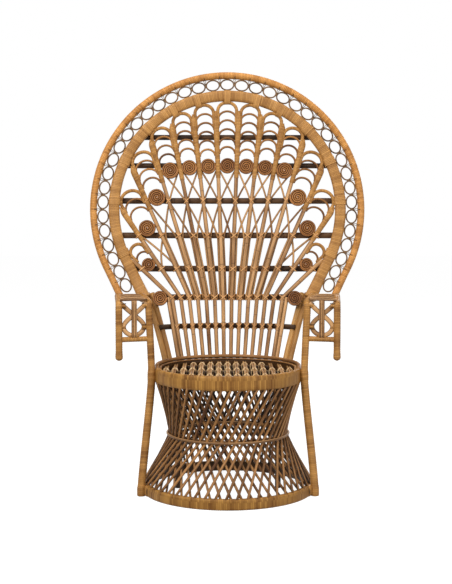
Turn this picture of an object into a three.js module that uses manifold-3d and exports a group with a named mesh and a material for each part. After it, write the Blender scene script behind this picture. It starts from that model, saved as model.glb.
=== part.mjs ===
// Peacock chair in rattan: a fan back in a ringed hoop, arms with fret panels, a round seat
// and an hourglass lattice base. Millimetres, X to the right, Y to the back, Z up.
import * as THREE from "three";
import { mergeVertices } from "three/addons/utils/BufferGeometryUtils.js";
import Module from "manifold-3d";

const wasm = await Module();
wasm.setup();

// Seat and base.
const SEAT_TOP = 413;
const SEAT_RADIUS = 247;
const SEAT_BAND_HEIGHT = 43;
const BASE_RADIUS = 290;
const BASE_BAND_HEIGHT = 36;
const BAND_THICKNESS = 20;
const WAIST_HEIGHT = 196;
const WAIST_RADIUS = 201;
const WAIST_CANE = 4.5;
const LATTICE_STICKS = 52;
const LATTICE_TWIST = 22.5;
const LATTICE_LAYER = 10;
const STICK_RADIUS = 3.75;
const INNER_POST_RADIUS = 10;
const SLAT_WIDTH = 17;
const SLAT_PITCH = 30;
const CROSS_BAR_PLACES = [-130, 18, 163];
const RAIL_RADIUS = 7.5;

// Hoop and back.
const HOOP_OPENING = 285.5;
const HOOP_TURN = 26.5;
const INNER_HOOP_RADIUS = 412;
const INNER_BAND_WIDTH = 40;
const INNER_BAND_DEPTH = 24.6;
const RING_GAP = 42;
const RING_COUNT = 39;
const RING_CANE = 2.4;
const OUTER_POLE = 13;
const BACK_LEAN = 7;
const BAR_SHARES = [0.6335, 0.381, 0.068, -0.238, -0.5316];
const HUB_DROP = 16;
const LOW_BAR_SHARE = 0.534;
const BAR_RADIUS = 8.5;
const RIB_RADIUS = 6;
const RIB_PAIRS = 7;
const HUB_SHARE = 0.1075;
const FOOT_SHARE = 0.1008;
const FAN_SPREAD = 0.08;
const FAN_CURL = 0.24;
const BACK_POLE_RADIUS = 9;

// Plumes: nested arches over a coil, one plume between each two ribs.
const COIL_SHARES = [0.398, 0.393, 0.38, 0.354, 0.104, -0.182, -0.517];
const ARCH_COUNTS = [6, 6, 5, 4, 4, 3, 2];
const ARCH_PITCH = 31.5;
const ARCH_RISE = 0.9;
const ARCH_RADIUS = 4;
const COIL_RADII = [29, 29, 29, 31, 32, 31, 27];
const EDGE_COIL_RADIUS = 27;
const COIL_CANE = 2.5;
const COIL_PITCH = 6.7;
const CROSS_CANE = 3;

// Arms and legs.
const ARM_HEIGHT = 638.5;
const LEG_RADIUS = 11.5;
const ARM_POLE = 11;
const LEG_SPLAY = 9.5;
const LEG_FOOT_Y = -92;
const LEG_SEAT_Y = -45;
const LEG_TOP_Y = -40;
const ARM_WIDTH = 96;
const STUB_Y = -75;
const STUB_BOTTOM = 447;
const PANEL_BAR_HEIGHT = 517;
const PANEL_BAR_RADIUS = 9;
const FRET_RADIUS = 6.5;
const UPRIGHT_WIDTH = 19;
const RUNG_RADIUS = 4.5;
const RUNGS_SHARE = 0.62;

const GAP = 0.4;
const degrees = THREE.MathUtils.degToRad;
const at = (x, y, z) => new THREE.Vector3(x, y, z);
const between = (a, b, share) => a + (b - a) * share;

// The arms start from the seat, and the hoops stand on the arms. A hoop is round down to its
// turn and runs straight from there, so the arm's height and the opening there set its centre.
const ARM_TOP = ARM_HEIGHT + LEG_RADIUS;
const tangentX = (radius, y) => Math.sqrt((radius + LEG_RADIUS) ** 2 - y ** 2);
const LEG_SEAT_X = tangentX(SEAT_RADIUS, LEG_SEAT_Y);
const LEG_TOP_X = LEG_SEAT_X + LEG_SPLAY;
const STUB_X = LEG_TOP_X + ARM_WIDTH;
const INNER_EDGE = INNER_HOOP_RADIUS - INNER_BAND_WIDTH / 2;
const RIM_EDGE = INNER_HOOP_RADIUS + INNER_BAND_WIDTH / 2;
const OUTER_HOOP_RADIUS = RIM_EDGE + RING_GAP + OUTER_POLE;
const turn = degrees(HOOP_TURN);
const turnDrop = INNER_EDGE * Math.sin(turn);
const runDrop = (INNER_EDGE * Math.cos(turn) - HOOP_OPENING) / Math.tan(turn);
const HOOP_CENTRE = ARM_TOP + turnDrop + runDrop;
const HUB_HEIGHT = ARM_TOP - HUB_DROP;
const HUB_PITCH = HUB_SHARE * HOOP_OPENING;
const FOOT_PITCH = FOOT_SHARE * SEAT_RADIUS;
const BAR_HEIGHTS = [
  ...BAR_SHARES.map((share) => HOOP_CENTRE + share * INNER_HOOP_RADIUS),
  HUB_HEIGHT,
  between(SEAT_TOP, HUB_HEIGHT, LOW_BAR_SHARE),
];

// A path through given stations, so that a swept cane has one ring of points at each of them.
class CanePath extends THREE.Curve {
  constructor(stations) {
    super();
    this.stations = stations;
  }

  getPoint(t, target = new THREE.Vector3()) {
    const last = this.stations.length - 1;
    const place = Math.min(Math.max(t, 0), 1) * last;
    const i = Math.min(Math.floor(place), last - 1);
    return target.copy(this.stations[i]).lerp(this.stations[i + 1], place - i);
  }

  getPointAt(u, target) {
    return this.getPoint(u, target);
  }

  getTangentAt(u, target) {
    return this.getTangent(u, target);
  }
}

function sweep(outline, stations) {
  return new THREE.ExtrudeGeometry(new THREE.Shape(outline), {
    steps: stations.length - 1,
    bevelEnabled: false,
    extrudePath: new CanePath(stations),
  });
}

function cane(stations, radius, sides) {
  const outline = [];
  for (let i = 0; i < sides; i += 1) {
    const angle = (2 * Math.PI * (i + 0.5)) / sides;
    outline.push(new THREE.Vector2(radius * Math.cos(angle), radius * Math.sin(angle)));
  }
  return solidOf(sweep(outline, stations));
}

// A closed band turned round the seat's axis, with its outer edges eased.
function band(outer, bottom, height, segments) {
  const ease = 4;
  const inner = outer - BAND_THICKNESS;
  const top = bottom + height;
  const profile = [
    new THREE.Vector2(inner, bottom),
    new THREE.Vector2(outer - ease, bottom),
    new THREE.Vector2(outer, bottom + ease),
    new THREE.Vector2(outer, top - ease),
    new THREE.Vector2(outer - ease, top),
    new THREE.Vector2(inner, top),
    new THREE.Vector2(inner, bottom),
  ];
  return solidOf(new THREE.LatheGeometry(profile, segments).rotateX(Math.PI / 2));
}

function solidOf(geometry) {
  const bare = geometry.index ? geometry.toNonIndexed() : geometry.clone();
  bare.deleteAttribute("normal");
  bare.deleteAttribute("uv");
  const merged = mergeVertices(bare, 1e-3);
  const corners = [];
  const index = merged.index.array;
  for (let i = 0; i < index.length; i += 3) {
    const [a, b, c] = [index[i], index[i + 1], index[i + 2]];
    if (a !== b && b !== c && a !== c) corners.push(a, b, c);
  }
  const made = (order) =>
    new wasm.Manifold(
      new wasm.Mesh({
        numProp: 3,
        vertProperties: merged.attributes.position.array,
        triVerts: new Uint32Array(order),
      }),
    );
  const solid = made(corners);
  if (solid.volume() >= 0) return solid;
  return made([...corners].reverse());
}

function geometryOf(solid) {
  const mesh = solid.getMesh();
  const places = new Float32Array(mesh.numVert * 3);
  for (let i = 0; i < mesh.numVert; i += 1) {
    const from = i * mesh.numProp;
    places.set(mesh.vertProperties.subarray(from, from + 3), i * 3);
  }
  const geometry = new THREE.BufferGeometry();
  geometry.setAttribute("position", new THREE.BufferAttribute(places, 3));
  geometry.setIndex(new THREE.BufferAttribute(new Uint32Array(mesh.triVerts), 1));
  return geometry;
}

const joined = (solids) => wasm.Manifold.union(solids);

const chair = new THREE.Group();
chair.name = "peacock_chair";

function section(name) {
  const group = new THREE.Group();
  group.name = name;
  chair.add(group);
  return group;
}

const base = section("base");
const seat = section("seat");
const back = section("back");
const arms = section("arms");

const rattan = (color, roughness) => new THREE.MeshStandardMaterial({ color, roughness, metalness: 0 });
const wrapped = rattan(0xb8854c, 0.5);
const peeled = rattan(0xa0713f, 0.55);
const bent = rattan(0x8c6238, 0.55);
const dark = rattan(0x573a1e, 0.6);

function addGeometry(group, material, name, geometry) {
  const mesh = new THREE.Mesh(geometry, material);
  mesh.name = name;
  group.add(mesh);
}

function addPiece(group, material, name, solid) {
  addGeometry(group, material, name, geometryOf(solid));
}

// The back is drawn flat, facing forward, and then laid on the back's surface.
// That surface starts as the round of the seat, leans back and opens out flat.
const RAIL_HEIGHT = SEAT_TOP + RAIL_RADIUS * Math.cos(degrees(30)) + GAP;
const BACK_RADIUS = SEAT_RADIUS + RIB_RADIUS * Math.cos(degrees(36)) + GAP / 2;
const DISH_TOP = BAR_HEIGHTS[4];

function backDepth(x, z) {
  const climb = Math.max(0, z - RAIL_HEIGHT);
  const fade = Math.max(0, 1 - climb / (DISH_TOP - RAIL_HEIGHT));
  const reach = Math.min(Math.abs(x), 0.94 * BACK_RADIUS);
  const drop = BACK_RADIUS - Math.sqrt(BACK_RADIUS ** 2 - reach ** 2);
  return BACK_RADIUS + climb * Math.tan(degrees(BACK_LEAN)) - fade * fade * drop;
}

function onBack(solid) {
  const geometry = geometryOf(solid);
  const places = geometry.getAttribute("position");
  for (let i = 0; i < places.count; i += 1) {
    places.setY(i, places.getY(i) + backDepth(places.getX(i), places.getZ(i)));
  }
  return geometry;
}

function addOnBack(material, name, solid) {
  addGeometry(back, material, name, onBack(solid));
}

// Base ring, seat band and the lattice between them.
const SEAT_BAND_BOTTOM = SEAT_TOP - SEAT_BAND_HEIGHT;
addPiece(base, wrapped, "base_ring", band(BASE_RADIUS, 0, BASE_BAND_HEIGHT, 36));
addPiece(seat, wrapped, "seat_band", band(SEAT_RADIUS, SEAT_BAND_BOTTOM, SEAT_BAND_HEIGHT, 36));

const aroundSeat = (radius, angle, z) => at(radius * Math.sin(angle), -radius * Math.cos(angle), z);

// A flat hoop round the waist, as high as a cane is thick, that the sticks run into.
function waistHoop(inner, outer) {
  const profile = [
    new THREE.Vector2(inner, -WAIST_CANE),
    new THREE.Vector2(outer, -WAIST_CANE),
    new THREE.Vector2(outer, WAIST_CANE),
    new THREE.Vector2(inner, WAIST_CANE),
    new THREE.Vector2(inner, -WAIST_CANE),
  ];
  const hoop = new THREE.LatheGeometry(profile, LATTICE_STICKS).rotateX(Math.PI / 2);
  return solidOf(hoop.translate(0, 0, WAIST_HEIGHT));
}

// Sticks of one family lean the same way above and below the waist, where a hoop ties them.
function latticeFamily(turn, layer, waistRadius, hoop) {
  const end = 2.6;
  const footRadius = BASE_RADIUS - BAND_THICKNESS / 2 + layer;
  const headRadius = SEAT_RADIUS - BAND_THICKNESS / 2 + layer;
  const twist = degrees(LATTICE_TWIST) * turn;
  const sticks = [hoop];
  const tie = WAIST_CANE - 1.5;
  for (let i = 0; i < LATTICE_STICKS; i += 1) {
    const middle = (2 * Math.PI * i) / LATTICE_STICKS;
    const foot = aroundSeat(footRadius, middle - twist, BASE_BAND_HEIGHT + end);
    const head = aroundSeat(headRadius, middle + twist, SEAT_BAND_BOTTOM - end);
    const below = aroundSeat(waistRadius, middle, WAIST_HEIGHT - tie);
    const above = aroundSeat(waistRadius, middle, WAIST_HEIGHT + tie);
    sticks.push(cane([foot, below], STICK_RADIUS, 3), cane([above, head], STICK_RADIUS, 3));
  }
  return joined(sticks);
}

const hoopWidth = LATTICE_LAYER - 4 * GAP;
const outerWaist = WAIST_RADIUS - hoopWidth / 2;
const innerWaist = outerWaist - LATTICE_LAYER;
const waistInside = innerWaist - hoopWidth / 2;
addPiece(
  base,
  peeled,
  "lattice_right_lean",
  latticeFamily(1, LATTICE_LAYER / 2, outerWaist, waistHoop(WAIST_RADIUS - hoopWidth, WAIST_RADIUS)),
);
addPiece(
  base,
  peeled,
  "lattice_left_lean",
  latticeFamily(-1, -LATTICE_LAYER / 2, innerWaist, waistHoop(waistInside, waistInside + hoopWidth)),
);

// Seat: front-to-back slats lashed on three cross bars, a little below the band's top.
const SEAT_INSIDE = SEAT_RADIUS - BAND_THICKNESS - 1;
const SLAT_THICKNESS = 7;
const SLAT_TOP = SEAT_TOP - 3;
const CROSS_BAR = 6;
const CROSS_BAR_HEIGHT = SLAT_TOP - SLAT_THICKNESS - CROSS_BAR * 0.7 + 1;
const seatPieces = [];
const slatPairs = Math.floor((0.95 * SEAT_INSIDE) / SLAT_PITCH);
for (let i = -slatPairs; i <= slatPairs; i += 1) {
  const x = i * SLAT_PITCH;
  const half = Math.sqrt(SEAT_INSIDE ** 2 - (Math.abs(x) + SLAT_WIDTH / 2) ** 2);
  const slat = new THREE.BoxGeometry(SLAT_WIDTH, 2 * half, SLAT_THICKNESS);
  seatPieces.push(solidOf(slat.translate(x, 0, SLAT_TOP - SLAT_THICKNESS / 2)));
}
for (const y of CROSS_BAR_PLACES) {
  const half = Math.sqrt(SEAT_INSIDE ** 2 - (Math.abs(y) + CROSS_BAR) ** 2);
  const ends = [at(-half, y, CROSS_BAR_HEIGHT), at(half, y, CROSS_BAR_HEIGHT)];
  seatPieces.push(cane(ends, CROSS_BAR, 4));
}
addPiece(seat, peeled, "seat_grid", joined(seatPieces));

// The rail on the seat band, round the back from leg to leg.
const railStations = [];
for (let i = 0; i <= 18; i += 1) {
  const angle = degrees(-97 + (194 * i) / 18);
  const radius = SEAT_RADIUS - RAIL_RADIUS - GAP;
  railStations.push(at(radius * Math.sin(angle), radius * Math.cos(angle), RAIL_HEIGHT));
}
addPiece(seat, wrapped, "seat_back_rail", cane(railStations, RAIL_RADIUS, 6));

// Hoops, drawn flat about the hoop's centre. The way along a hoop is counted from its top.
const HOOP_STEPS = 30;
const BAND_SETTLE = 4;
const POLE_SETTLE = 3;
const roundHalf = Math.PI / 2 + turn;
const across = [Math.cos(turn), -Math.sin(turn)];
const downward = [-Math.sin(turn), -Math.cos(turn)];

function onHoop(radius, way) {
  const side = Math.sign(way);
  const run = Math.abs(way) - radius * roundHalf;
  if (run <= 0) return at(radius * Math.sin(way / radius), 0, HOOP_CENTRE + radius * Math.cos(way / radius));
  const x = radius * across[0] + run * downward[0];
  return at(side * x, 0, HOOP_CENTRE + radius * across[1] + run * downward[1]);
}

// The way to a hoop's end, where the end's outer corner comes down on the arm.
function hoopEnd(radius, outermost, settle) {
  const height = ARM_TOP - settle + (outermost - radius) * Math.sin(turn);
  const drop = HOOP_CENTRE - radius * Math.sin(turn) - height;
  return radius * roundHalf + drop / Math.cos(turn);
}

const outerEnd = hoopEnd(OUTER_HOOP_RADIUS, OUTER_HOOP_RADIUS + OUTER_POLE, POLE_SETTLE);
const innerEnd = hoopEnd(INNER_HOOP_RADIUS, RIM_EDGE, BAND_SETTLE);

function hoopStations(radius, end) {
  const stations = [onHoop(radius, -end)];
  for (let i = 0; i <= HOOP_STEPS; i += 1) {
    stations.push(onHoop(radius, radius * roundHalf * ((2 * i) / HOOP_STEPS - 1)));
  }
  stations.push(onHoop(radius, end));
  return stations;
}

// How far out a point of the back lies: from the centre, or from the line of the straight run.
function hoopReach(x, z) {
  const [px, pz] = [Math.abs(x), z - HOOP_CENTRE];
  const past = px * downward[0] + pz * downward[1];
  return past > 0 ? px * across[0] + pz * across[1] : Math.hypot(px, pz);
}

function hoopHalf(reach, z) {
  const half = Math.sqrt(reach ** 2 - (z - HOOP_CENTRE) ** 2);
  if (hoopReach(half, z) >= reach - 0.001) return half;
  return (reach - (z - HOOP_CENTRE) * across[1]) / across[0];
}

const outerStations = hoopStations(OUTER_HOOP_RADIUS, outerEnd);
addOnBack(wrapped, "outer_hoop", cane(outerStations, OUTER_POLE, 6));

function innerHoop(extra) {
  const deep = INNER_BAND_DEPTH / 2 + extra;
  const wide = INNER_BAND_WIDTH / 2 + extra;
  const ease = 7;
  const outline = [
    new THREE.Vector2(deep, -wide + ease),
    new THREE.Vector2(deep, wide - ease),
    new THREE.Vector2(deep - ease, wide),
    new THREE.Vector2(-deep + ease, wide),
    new THREE.Vector2(-deep, wide - ease),
    new THREE.Vector2(-deep, -wide + ease),
    new THREE.Vector2(-deep + ease, -wide),
    new THREE.Vector2(deep - ease, -wide),
  ];
  return solidOf(sweep(outline, hoopStations(INNER_HOOP_RADIUS, innerEnd)));
}

addOnBack(wrapped, "inner_hoop", innerHoop(0));
const hoopCutter = innerHoop(GAP);

// The row of touching cane rings between the two hoops.
const ringRadius = RIM_EDGE + RING_GAP / 2 - 0.5;
const ringEnd = hoopEnd(ringRadius, ringRadius, 0) - 0.75 * RING_GAP;
const ringStep = (2 * ringEnd) / (RING_COUNT - 1);
const rings = [];
for (let i = 0; i < RING_COUNT; i += 1) {
  const way = ringStep * (i - (RING_COUNT - 1) / 2);
  const angle = Math.min(Math.max(way / ringRadius, -roundHalf), roundHalf);
  const long = ringStep / 2 + 0.8 - RING_CANE;
  const wide = RING_GAP / 2 - 0.75 - RING_CANE;
  const ring = new THREE.TorusGeometry(wide, RING_CANE, 3, 8).scale(long / wide, 1, 1);
  ring.rotateX(Math.PI / 2).rotateY(angle);
  const place = onHoop(ringRadius, way);
  rings.push(solidOf(ring.translate(place.x, 0, place.z)));
}
addOnBack(bent, "ring_row", joined(rings));

// Ribs spread from the rail to the hub bar and fan out from there to the inner hoop.
const ribSlope = (j) => FAN_SPREAD * j + FAN_CURL * (j / 5.5) ** 5;

function ribX(j, z) {
  if (z >= HUB_HEIGHT) return j * HUB_PITCH + ribSlope(j) * (z - HUB_HEIGHT);
  const share = Math.max(0, (z - RAIL_HEIGHT) / (HUB_HEIGHT - RAIL_HEIGHT));
  return j * (FOOT_PITCH + (HUB_PITCH - FOOT_PITCH) * share);
}

// A plume stands on its own axis: s runs up from the coil's centre, t to the right.
const ARCH_STEPS = 5;
const legOffset = RIB_RADIUS + ARCH_RADIUS * Math.cos(degrees(45)) + GAP / 2;
const hoopInside = INNER_EDGE * Math.cos(roundHalf / HOOP_STEPS);
const hoopLimit = hoopInside - ARCH_RADIUS * Math.cos(degrees(45)) - GAP;

function plumeFrame(column) {
  const z = HOOP_CENTRE + COIL_SHARES[column] * INNER_EDGE;
  const slope = ribSlope(column);
  const length = Math.hypot(slope, 1);
  const up = [slope / length, 1 / length];
  const right = [up[1], -up[0]];
  const x = column * HUB_PITCH + slope * (z - HUB_HEIGHT);
  const toward = (s, t) => [x + s * up[0] + t * right[0], z + s * up[1] + t * right[1]];
  const ribOffset = (j, s) => {
    const lean = ribSlope(j);
    const [px, pz] = toward(s, 0);
    return (j * HUB_PITCH + lean * (pz - HUB_HEIGHT) - px) / (right[0] - lean * right[1]);
  };
  const rise = x * up[0] + (z - HOOP_CENTRE) * up[1];
  const out = x * right[0] + (z - HOOP_CENTRE) * right[1];
  const radius = (s, t) => hoopReach(...toward(s, t));
  const roundOffset = (s) => Math.sqrt(Math.max(0, hoopLimit ** 2 - (rise + s) ** 2));
  const runOffset = (s) => {
    const [px, pz] = toward(s, 0);
    const inside = hoopLimit - px * across[0] - (pz - HOOP_CENTRE) * across[1];
    return inside / (right[0] * across[0] + right[1] * across[1]);
  };
  const hoopOffset = (s) => {
    const t = roundOffset(s) - out;
    return radius(s, t) > hoopLimit - 0.01 ? t : runOffset(s);
  };
  const left = (s) => Math.max(ribOffset(column - 0.5, s) + legOffset, -roundOffset(s) - out);
  const edge = (s) => Math.min(ribOffset(column + 0.5, s) - legOffset, hoopOffset(s));
  const bound = column > 3;
  return { toward, ribOffset, left, edge, radius, bound };
}

function archPoints(frame, spring) {
  const from = frame.left(spring);
  const to = frame.edge(spring);
  const half = (to - from) / 2;
  const points = [];
  for (let i = 0; i <= ARCH_STEPS; i += 1) {
    const angle = (Math.PI * i) / ARCH_STEPS;
    points.push([spring + ARCH_RISE * half * Math.sin(angle), (from + to) / 2 - half * Math.cos(angle)]);
  }
  return points;
}

function topSpring(frame) {
  for (let spring = 400; spring > 0; spring -= 0.5) {
    const wide = frame.edge(spring) - frame.left(spring) > 24;
    if (wide && archPoints(frame, spring).every(([s, t]) => frame.radius(s, t) < hoopLimit)) return spring;
  }
  return 0;
}

// A rib ends where the topmost arch inside it springs, or at the hoop if that comes first.
function ribTop(j) {
  const frame = plumeFrame(Math.abs(j) - 0.5);
  const spring = topSpring(frame);
  const split = frame.toward(spring, frame.ribOffset(Math.abs(j), spring))[1];
  let low = HUB_HEIGHT;
  let high = HOOP_CENTRE + INNER_HOOP_RADIUS;
  for (let i = 0; i < 40; i += 1) {
    const z = (low + high) / 2;
    if (hoopReach(ribX(j, z), z) < INNER_HOOP_RADIUS - 9) low = z;
    else high = z;
  }
  return Math.min(low, split);
}

const RIB_FOOT = SEAT_TOP - 25;
const lowHeights = [
  RIB_FOOT,
  RAIL_HEIGHT,
  between(RAIL_HEIGHT, HUB_HEIGHT, 0.5),
  HUB_HEIGHT,
];
const dishHeights = [between(HUB_HEIGHT, DISH_TOP, 0.5), DISH_TOP];
const sideName = (side) => (side < 0 ? "left" : "right");

for (const side of [-1, 1]) {
  for (let k = 0; k < RIB_PAIRS; k += 1) {
    const j = side * (k + 0.5);
    const heights = [...lowHeights, ...dishHeights, ribTop(j)];
    const rib = cane(heights.map((z) => at(ribX(j, z), 0, z)), RIB_RADIUS, 5);
    addOnBack(peeled, `rib_${sideName(side)}_${k + 1}`, rib.subtract(hoopCutter));
  }
  const edge = side * (RIB_PAIRS - 0.5 + (2 * RIB_RADIUS) / FOOT_PITCH);
  const stick = cane(lowHeights.map((z) => at(ribX(edge, z), 0, z)), RIB_RADIUS, 6);
  addOnBack(peeled, `edge_stick_${sideName(side)}`, stick);
}

// Crossing canes pass behind the ribs, one rib further at each bar, and end beside a rib.
const CANE_LAYER = RIB_RADIUS + CROSS_CANE + GAP;
const BAR_LAYER = Math.max(CANE_LAYER + CROSS_CANE, INNER_BAND_DEPTH / 2) + GAP + BAR_RADIUS;
const crossCanes = [];
for (let k = 0; k < 5; k += 1) {
  for (const side of [-1, 1]) {
    for (const step of [-1, 1]) {
      const j = side * (k + 0.5);
      if (Math.abs(j + step) > 4.6) continue;
      const beside = step * CANE_LAYER;
      const stations = [HUB_HEIGHT - 6, DISH_TOP, BAR_HEIGHTS[3]].map((z) =>
        at(ribX(j, z) + beside, CANE_LAYER, z),
      );
      stations.push(at(ribX(j + step, BAR_HEIGHTS[2]), CANE_LAYER, BAR_HEIGHTS[2]));
      if (Math.abs(j + 2 * step) < 3.6) {
        const z = BAR_HEIGHTS[1] - 6;
        stations.push(at(ribX(j + 2 * step, z), CANE_LAYER, z));
      }
      crossCanes.push(cane(stations, CROSS_CANE, 3));
    }
  }
}
for (const side of [-1, 1]) {
  const [low, high] = [BAR_HEIGHTS[4] - 6, BAR_HEIGHTS[3] + 6];
  const inner = (z) => at(side * (ribX(4.5, z) - CANE_LAYER), CANE_LAYER, z);
  const outer = (z) => at(side * ribX(5.5, z), CANE_LAYER, z);
  crossCanes.push(cane([inner(low), outer(high)], CROSS_CANE, 3));
  crossCanes.push(cane([outer(low), inner(high)], CROSS_CANE, 3));
}
addOnBack(bent, "cross_canes", joined(crossCanes));

// Legs run from the floor past the seat band to the arm, and back along it to the hoop.
const armEndX = onHoop(INNER_HOOP_RADIUS, innerEnd).x + 6;
const armEndY = backDepth(armEndX, ARM_TOP) + INNER_BAND_DEPTH / 2;

function leg(side, radius) {
  const footX = tangentX(BASE_RADIUS, LEG_FOOT_Y);
  return cane(
    [
      at(side * footX, LEG_FOOT_Y, 0),
      at(side * footX, LEG_FOOT_Y, BASE_BAND_HEIGHT + 6),
      at(side * LEG_SEAT_X, LEG_SEAT_Y, SEAT_BAND_BOTTOM - 6),
      at(side * LEG_SEAT_X, LEG_SEAT_Y, SEAT_TOP + 6),
      at(side * LEG_TOP_X, LEG_TOP_Y, ARM_HEIGHT - 20),
      at(side * LEG_TOP_X, LEG_TOP_Y + 5, ARM_HEIGHT - 6),
      at(side * (LEG_TOP_X + 1), LEG_TOP_Y + 18, ARM_HEIGHT),
      at(side * armEndX, armEndY, ARM_HEIGHT),
    ],
    radius,
    8,
  );
}

// Back poles: two poles side by side, from behind the hoop's end to the side of the seat band.
const POLE_FOOT_ANGLE = degrees(54.8);
const POLE_TOP_X = HOOP_OPENING - 4;
const POLE_TOP = ARM_TOP - 2;
const POLE_JOINT = RAIL_HEIGHT + 20;
const poleFootRadius = SEAT_RADIUS + BACK_POLE_RADIUS - 0.3;
const poleTopLayer = INNER_BAND_DEPTH / 2 + BACK_POLE_RADIUS + 2.2;

const hoopSolid = solidOf(onBack(hoopCutter));

function polePair(side, radius) {
  const poles = [];
  for (const half of [-1, 1]) {
    const apart = half * (BACK_POLE_RADIUS - 0.5);
    const angle = POLE_FOOT_ANGLE + apart / poleFootRadius;
    const footX = poleFootRadius * Math.sin(angle);
    const footY = poleFootRadius * Math.cos(angle);
    const topX = POLE_TOP_X + apart;
    const topY = backDepth(topX, POLE_TOP) + poleTopLayer;
    poles.push(
      cane(
        [
          at(side * footX, footY, RIB_FOOT),
          at(side * footX, footY, POLE_JOINT),
          at(side * between(footX, topX, 0.5), between(footY, topY, 0.62), (POLE_JOINT + POLE_TOP) / 2),
          at(side * topX, topY, POLE_TOP),
        ],
        radius,
        8,
      ),
    );
  }
  return joined(poles);
}

for (const side of [-1, 1]) {
  const pair = polePair(side, BACK_POLE_RADIUS).subtract(hoopSolid).subtract(leg(side, LEG_RADIUS + GAP));
  addPiece(back, dark, `back_pole_${sideName(side)}`, pair);
}

const polesApart = joined([polePair(-1, BACK_POLE_RADIUS + GAP), polePair(1, BACK_POLE_RADIUS + GAP)]);

// The largest body of a solid, without what a cut leaves beside it.
function largest(solid) {
  return solid.decompose().reduce((most, body) => (body.volume() > most.volume() ? body : most));
}

// Bars behind the canes. The upper five end on the hoop's back, the lower two between the poles.
BAR_HEIGHTS.forEach((z, i) => {
  const upper = i < 5;
  const climb = (z - POLE_JOINT) / (POLE_TOP - POLE_JOINT);
  const toPoles = between(poleFootRadius * Math.sin(POLE_FOOT_ANGLE), POLE_TOP_X, climb);
  const half = upper ? hoopHalf(INNER_HOOP_RADIUS + 6, z) : toPoles;
  const layer = upper ? BAR_LAYER : BAR_LAYER + GAP;
  const steps = upper ? 1 : 8;
  const stations = [];
  for (let n = 0; n <= steps; n += 1) stations.push(at(between(-half, half, n / steps), layer, z));
  const bar = solidOf(onBack(cane(stations, BAR_RADIUS, 6)));
  addPiece(back, dark, `bar_${i + 1}`, largest(bar.subtract(polesApart)));
});

// A flat coil of cane, wound outwards, that ends on its left side going up.
const COIL_STEPS = 7;
let coilGap = Infinity;

function coilPoints(reach) {
  const outer = reach - COIL_CANE;
  const steps = Math.floor(((outer - 3.3) / COIL_PITCH) * COIL_STEPS);
  const turns = steps / COIL_STEPS;
  const points = [];
  for (let i = 0; i <= steps; i += 1) {
    const left = turns * (1 - i / steps);
    const radius = outer - COIL_PITCH * left;
    const angle = Math.PI + 2 * Math.PI * left;
    points.push([radius * Math.sin(angle), radius * Math.cos(angle)]);
  }
  return points;
}

function measureCoil(points) {
  const dense = [];
  for (let i = 0; i + 1 < points.length; i += 1) {
    for (let n = 0; n < 6; n += 1) {
      const share = n / 6;
      const [from, to] = [points[i], points[i + 1]];
      dense.push([between(from[0], to[0], share), between(from[1], to[1], share)]);
    }
  }
  const apart = Math.round(0.6 * COIL_STEPS * 6);
  for (let a = 0; a < dense.length; a += 1) {
    for (let b = a + apart; b < dense.length; b += 1) {
      const gap = Math.hypot(dense[a][0] - dense[b][0], dense[a][1] - dense[b][1]) - 2 * COIL_CANE;
      coilGap = Math.min(coilGap, gap);
    }
  }
}

function plume(column, side) {
  const frame = plumeFrame(column);
  const flat = ([s, t]) => {
    const [x, z] = frame.toward(s, t);
    return at(side * x, 0, z);
  };
  const count = ARCH_COUNTS[column];
  const top = topSpring(frame);
  const springs = [];
  for (let i = 0; i < count; i += 1) springs.push(top - i * ARCH_PITCH);
  const foot = COIL_RADII[column] + 1;
  const lower = springs.slice(1);
  const rightLeg = frame.bound ? lower.map((s) => [s, frame.edge(s)]) : [];
  const outline = [
    [foot, frame.left(foot)],
    ...archPoints(frame, top),
    ...rightLeg,
    [foot + 5, frame.edge(foot + 5)],
  ];
  const solids = [cane(outline.map(flat), ARCH_RADIUS, 4)];
  for (const spring of lower) solids.push(cane(archPoints(frame, spring).map(flat), ARCH_RADIUS - 0.4, 4));
  const room = Math.min(-frame.left(0), frame.edge(0)) + ARCH_RADIUS - 0.5;
  const coil = coilPoints(Math.min(COIL_RADII[column], room));
  measureCoil(coil);
  coil.push([foot * 0.55, between(coil[coil.length - 1][1], frame.left(foot), 0.6)]);
  coil.push([foot + 7, frame.left(foot + 7)]);
  solids.push(cane(coil.map(flat), COIL_CANE, 3));
  return largest(joined(solids));
}

addOnBack(bent, "plume_middle", plume(0, 1));
for (const side of [-1, 1]) {
  for (let column = 1; column < ARCH_COUNTS.length; column += 1) {
    addOnBack(bent, `plume_${sideName(side)}_${column}`, plume(column, side));
  }
  const lift = RIB_RADIUS + COIL_CANE;
  const points = coilPoints(EDGE_COIL_RADIUS).map(([s, t]) =>
    at(side * (RIB_PAIRS * HUB_PITCH + EDGE_COIL_RADIUS + t), -lift, HUB_HEIGHT - 1 + s),
  );
  addOnBack(bent, `edge_coil_${sideName(side)}`, cane(points, COIL_CANE, 3));
}
console.log("least gap of a coil to itself, mm:", coilGap.toFixed(2));

const outerEndX = onHoop(OUTER_HOOP_RADIUS, outerEnd).x + 2;
const outerEndY = backDepth(outerEndX, ARM_TOP) + OUTER_POLE;

function armRail(side, radius) {
  const z = ARM_TOP - ARM_POLE;
  return cane(
    [
      at(side * STUB_X, STUB_Y, STUB_BOTTOM),
      at(side * STUB_X, STUB_Y, z - 20),
      at(side * STUB_X, STUB_Y + 5, z - 6),
      at(side * (STUB_X + 1), STUB_Y + 18, z),
      at(side * outerEndX, outerEndY, z),
    ],
    radius,
    8,
  );
}

// The panel's plane runs from the leg's axis to the stub's; p is the way along it.
const panelLength = Math.hypot(STUB_X - LEG_TOP_X, STUB_Y - LEG_TOP_Y);

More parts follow.
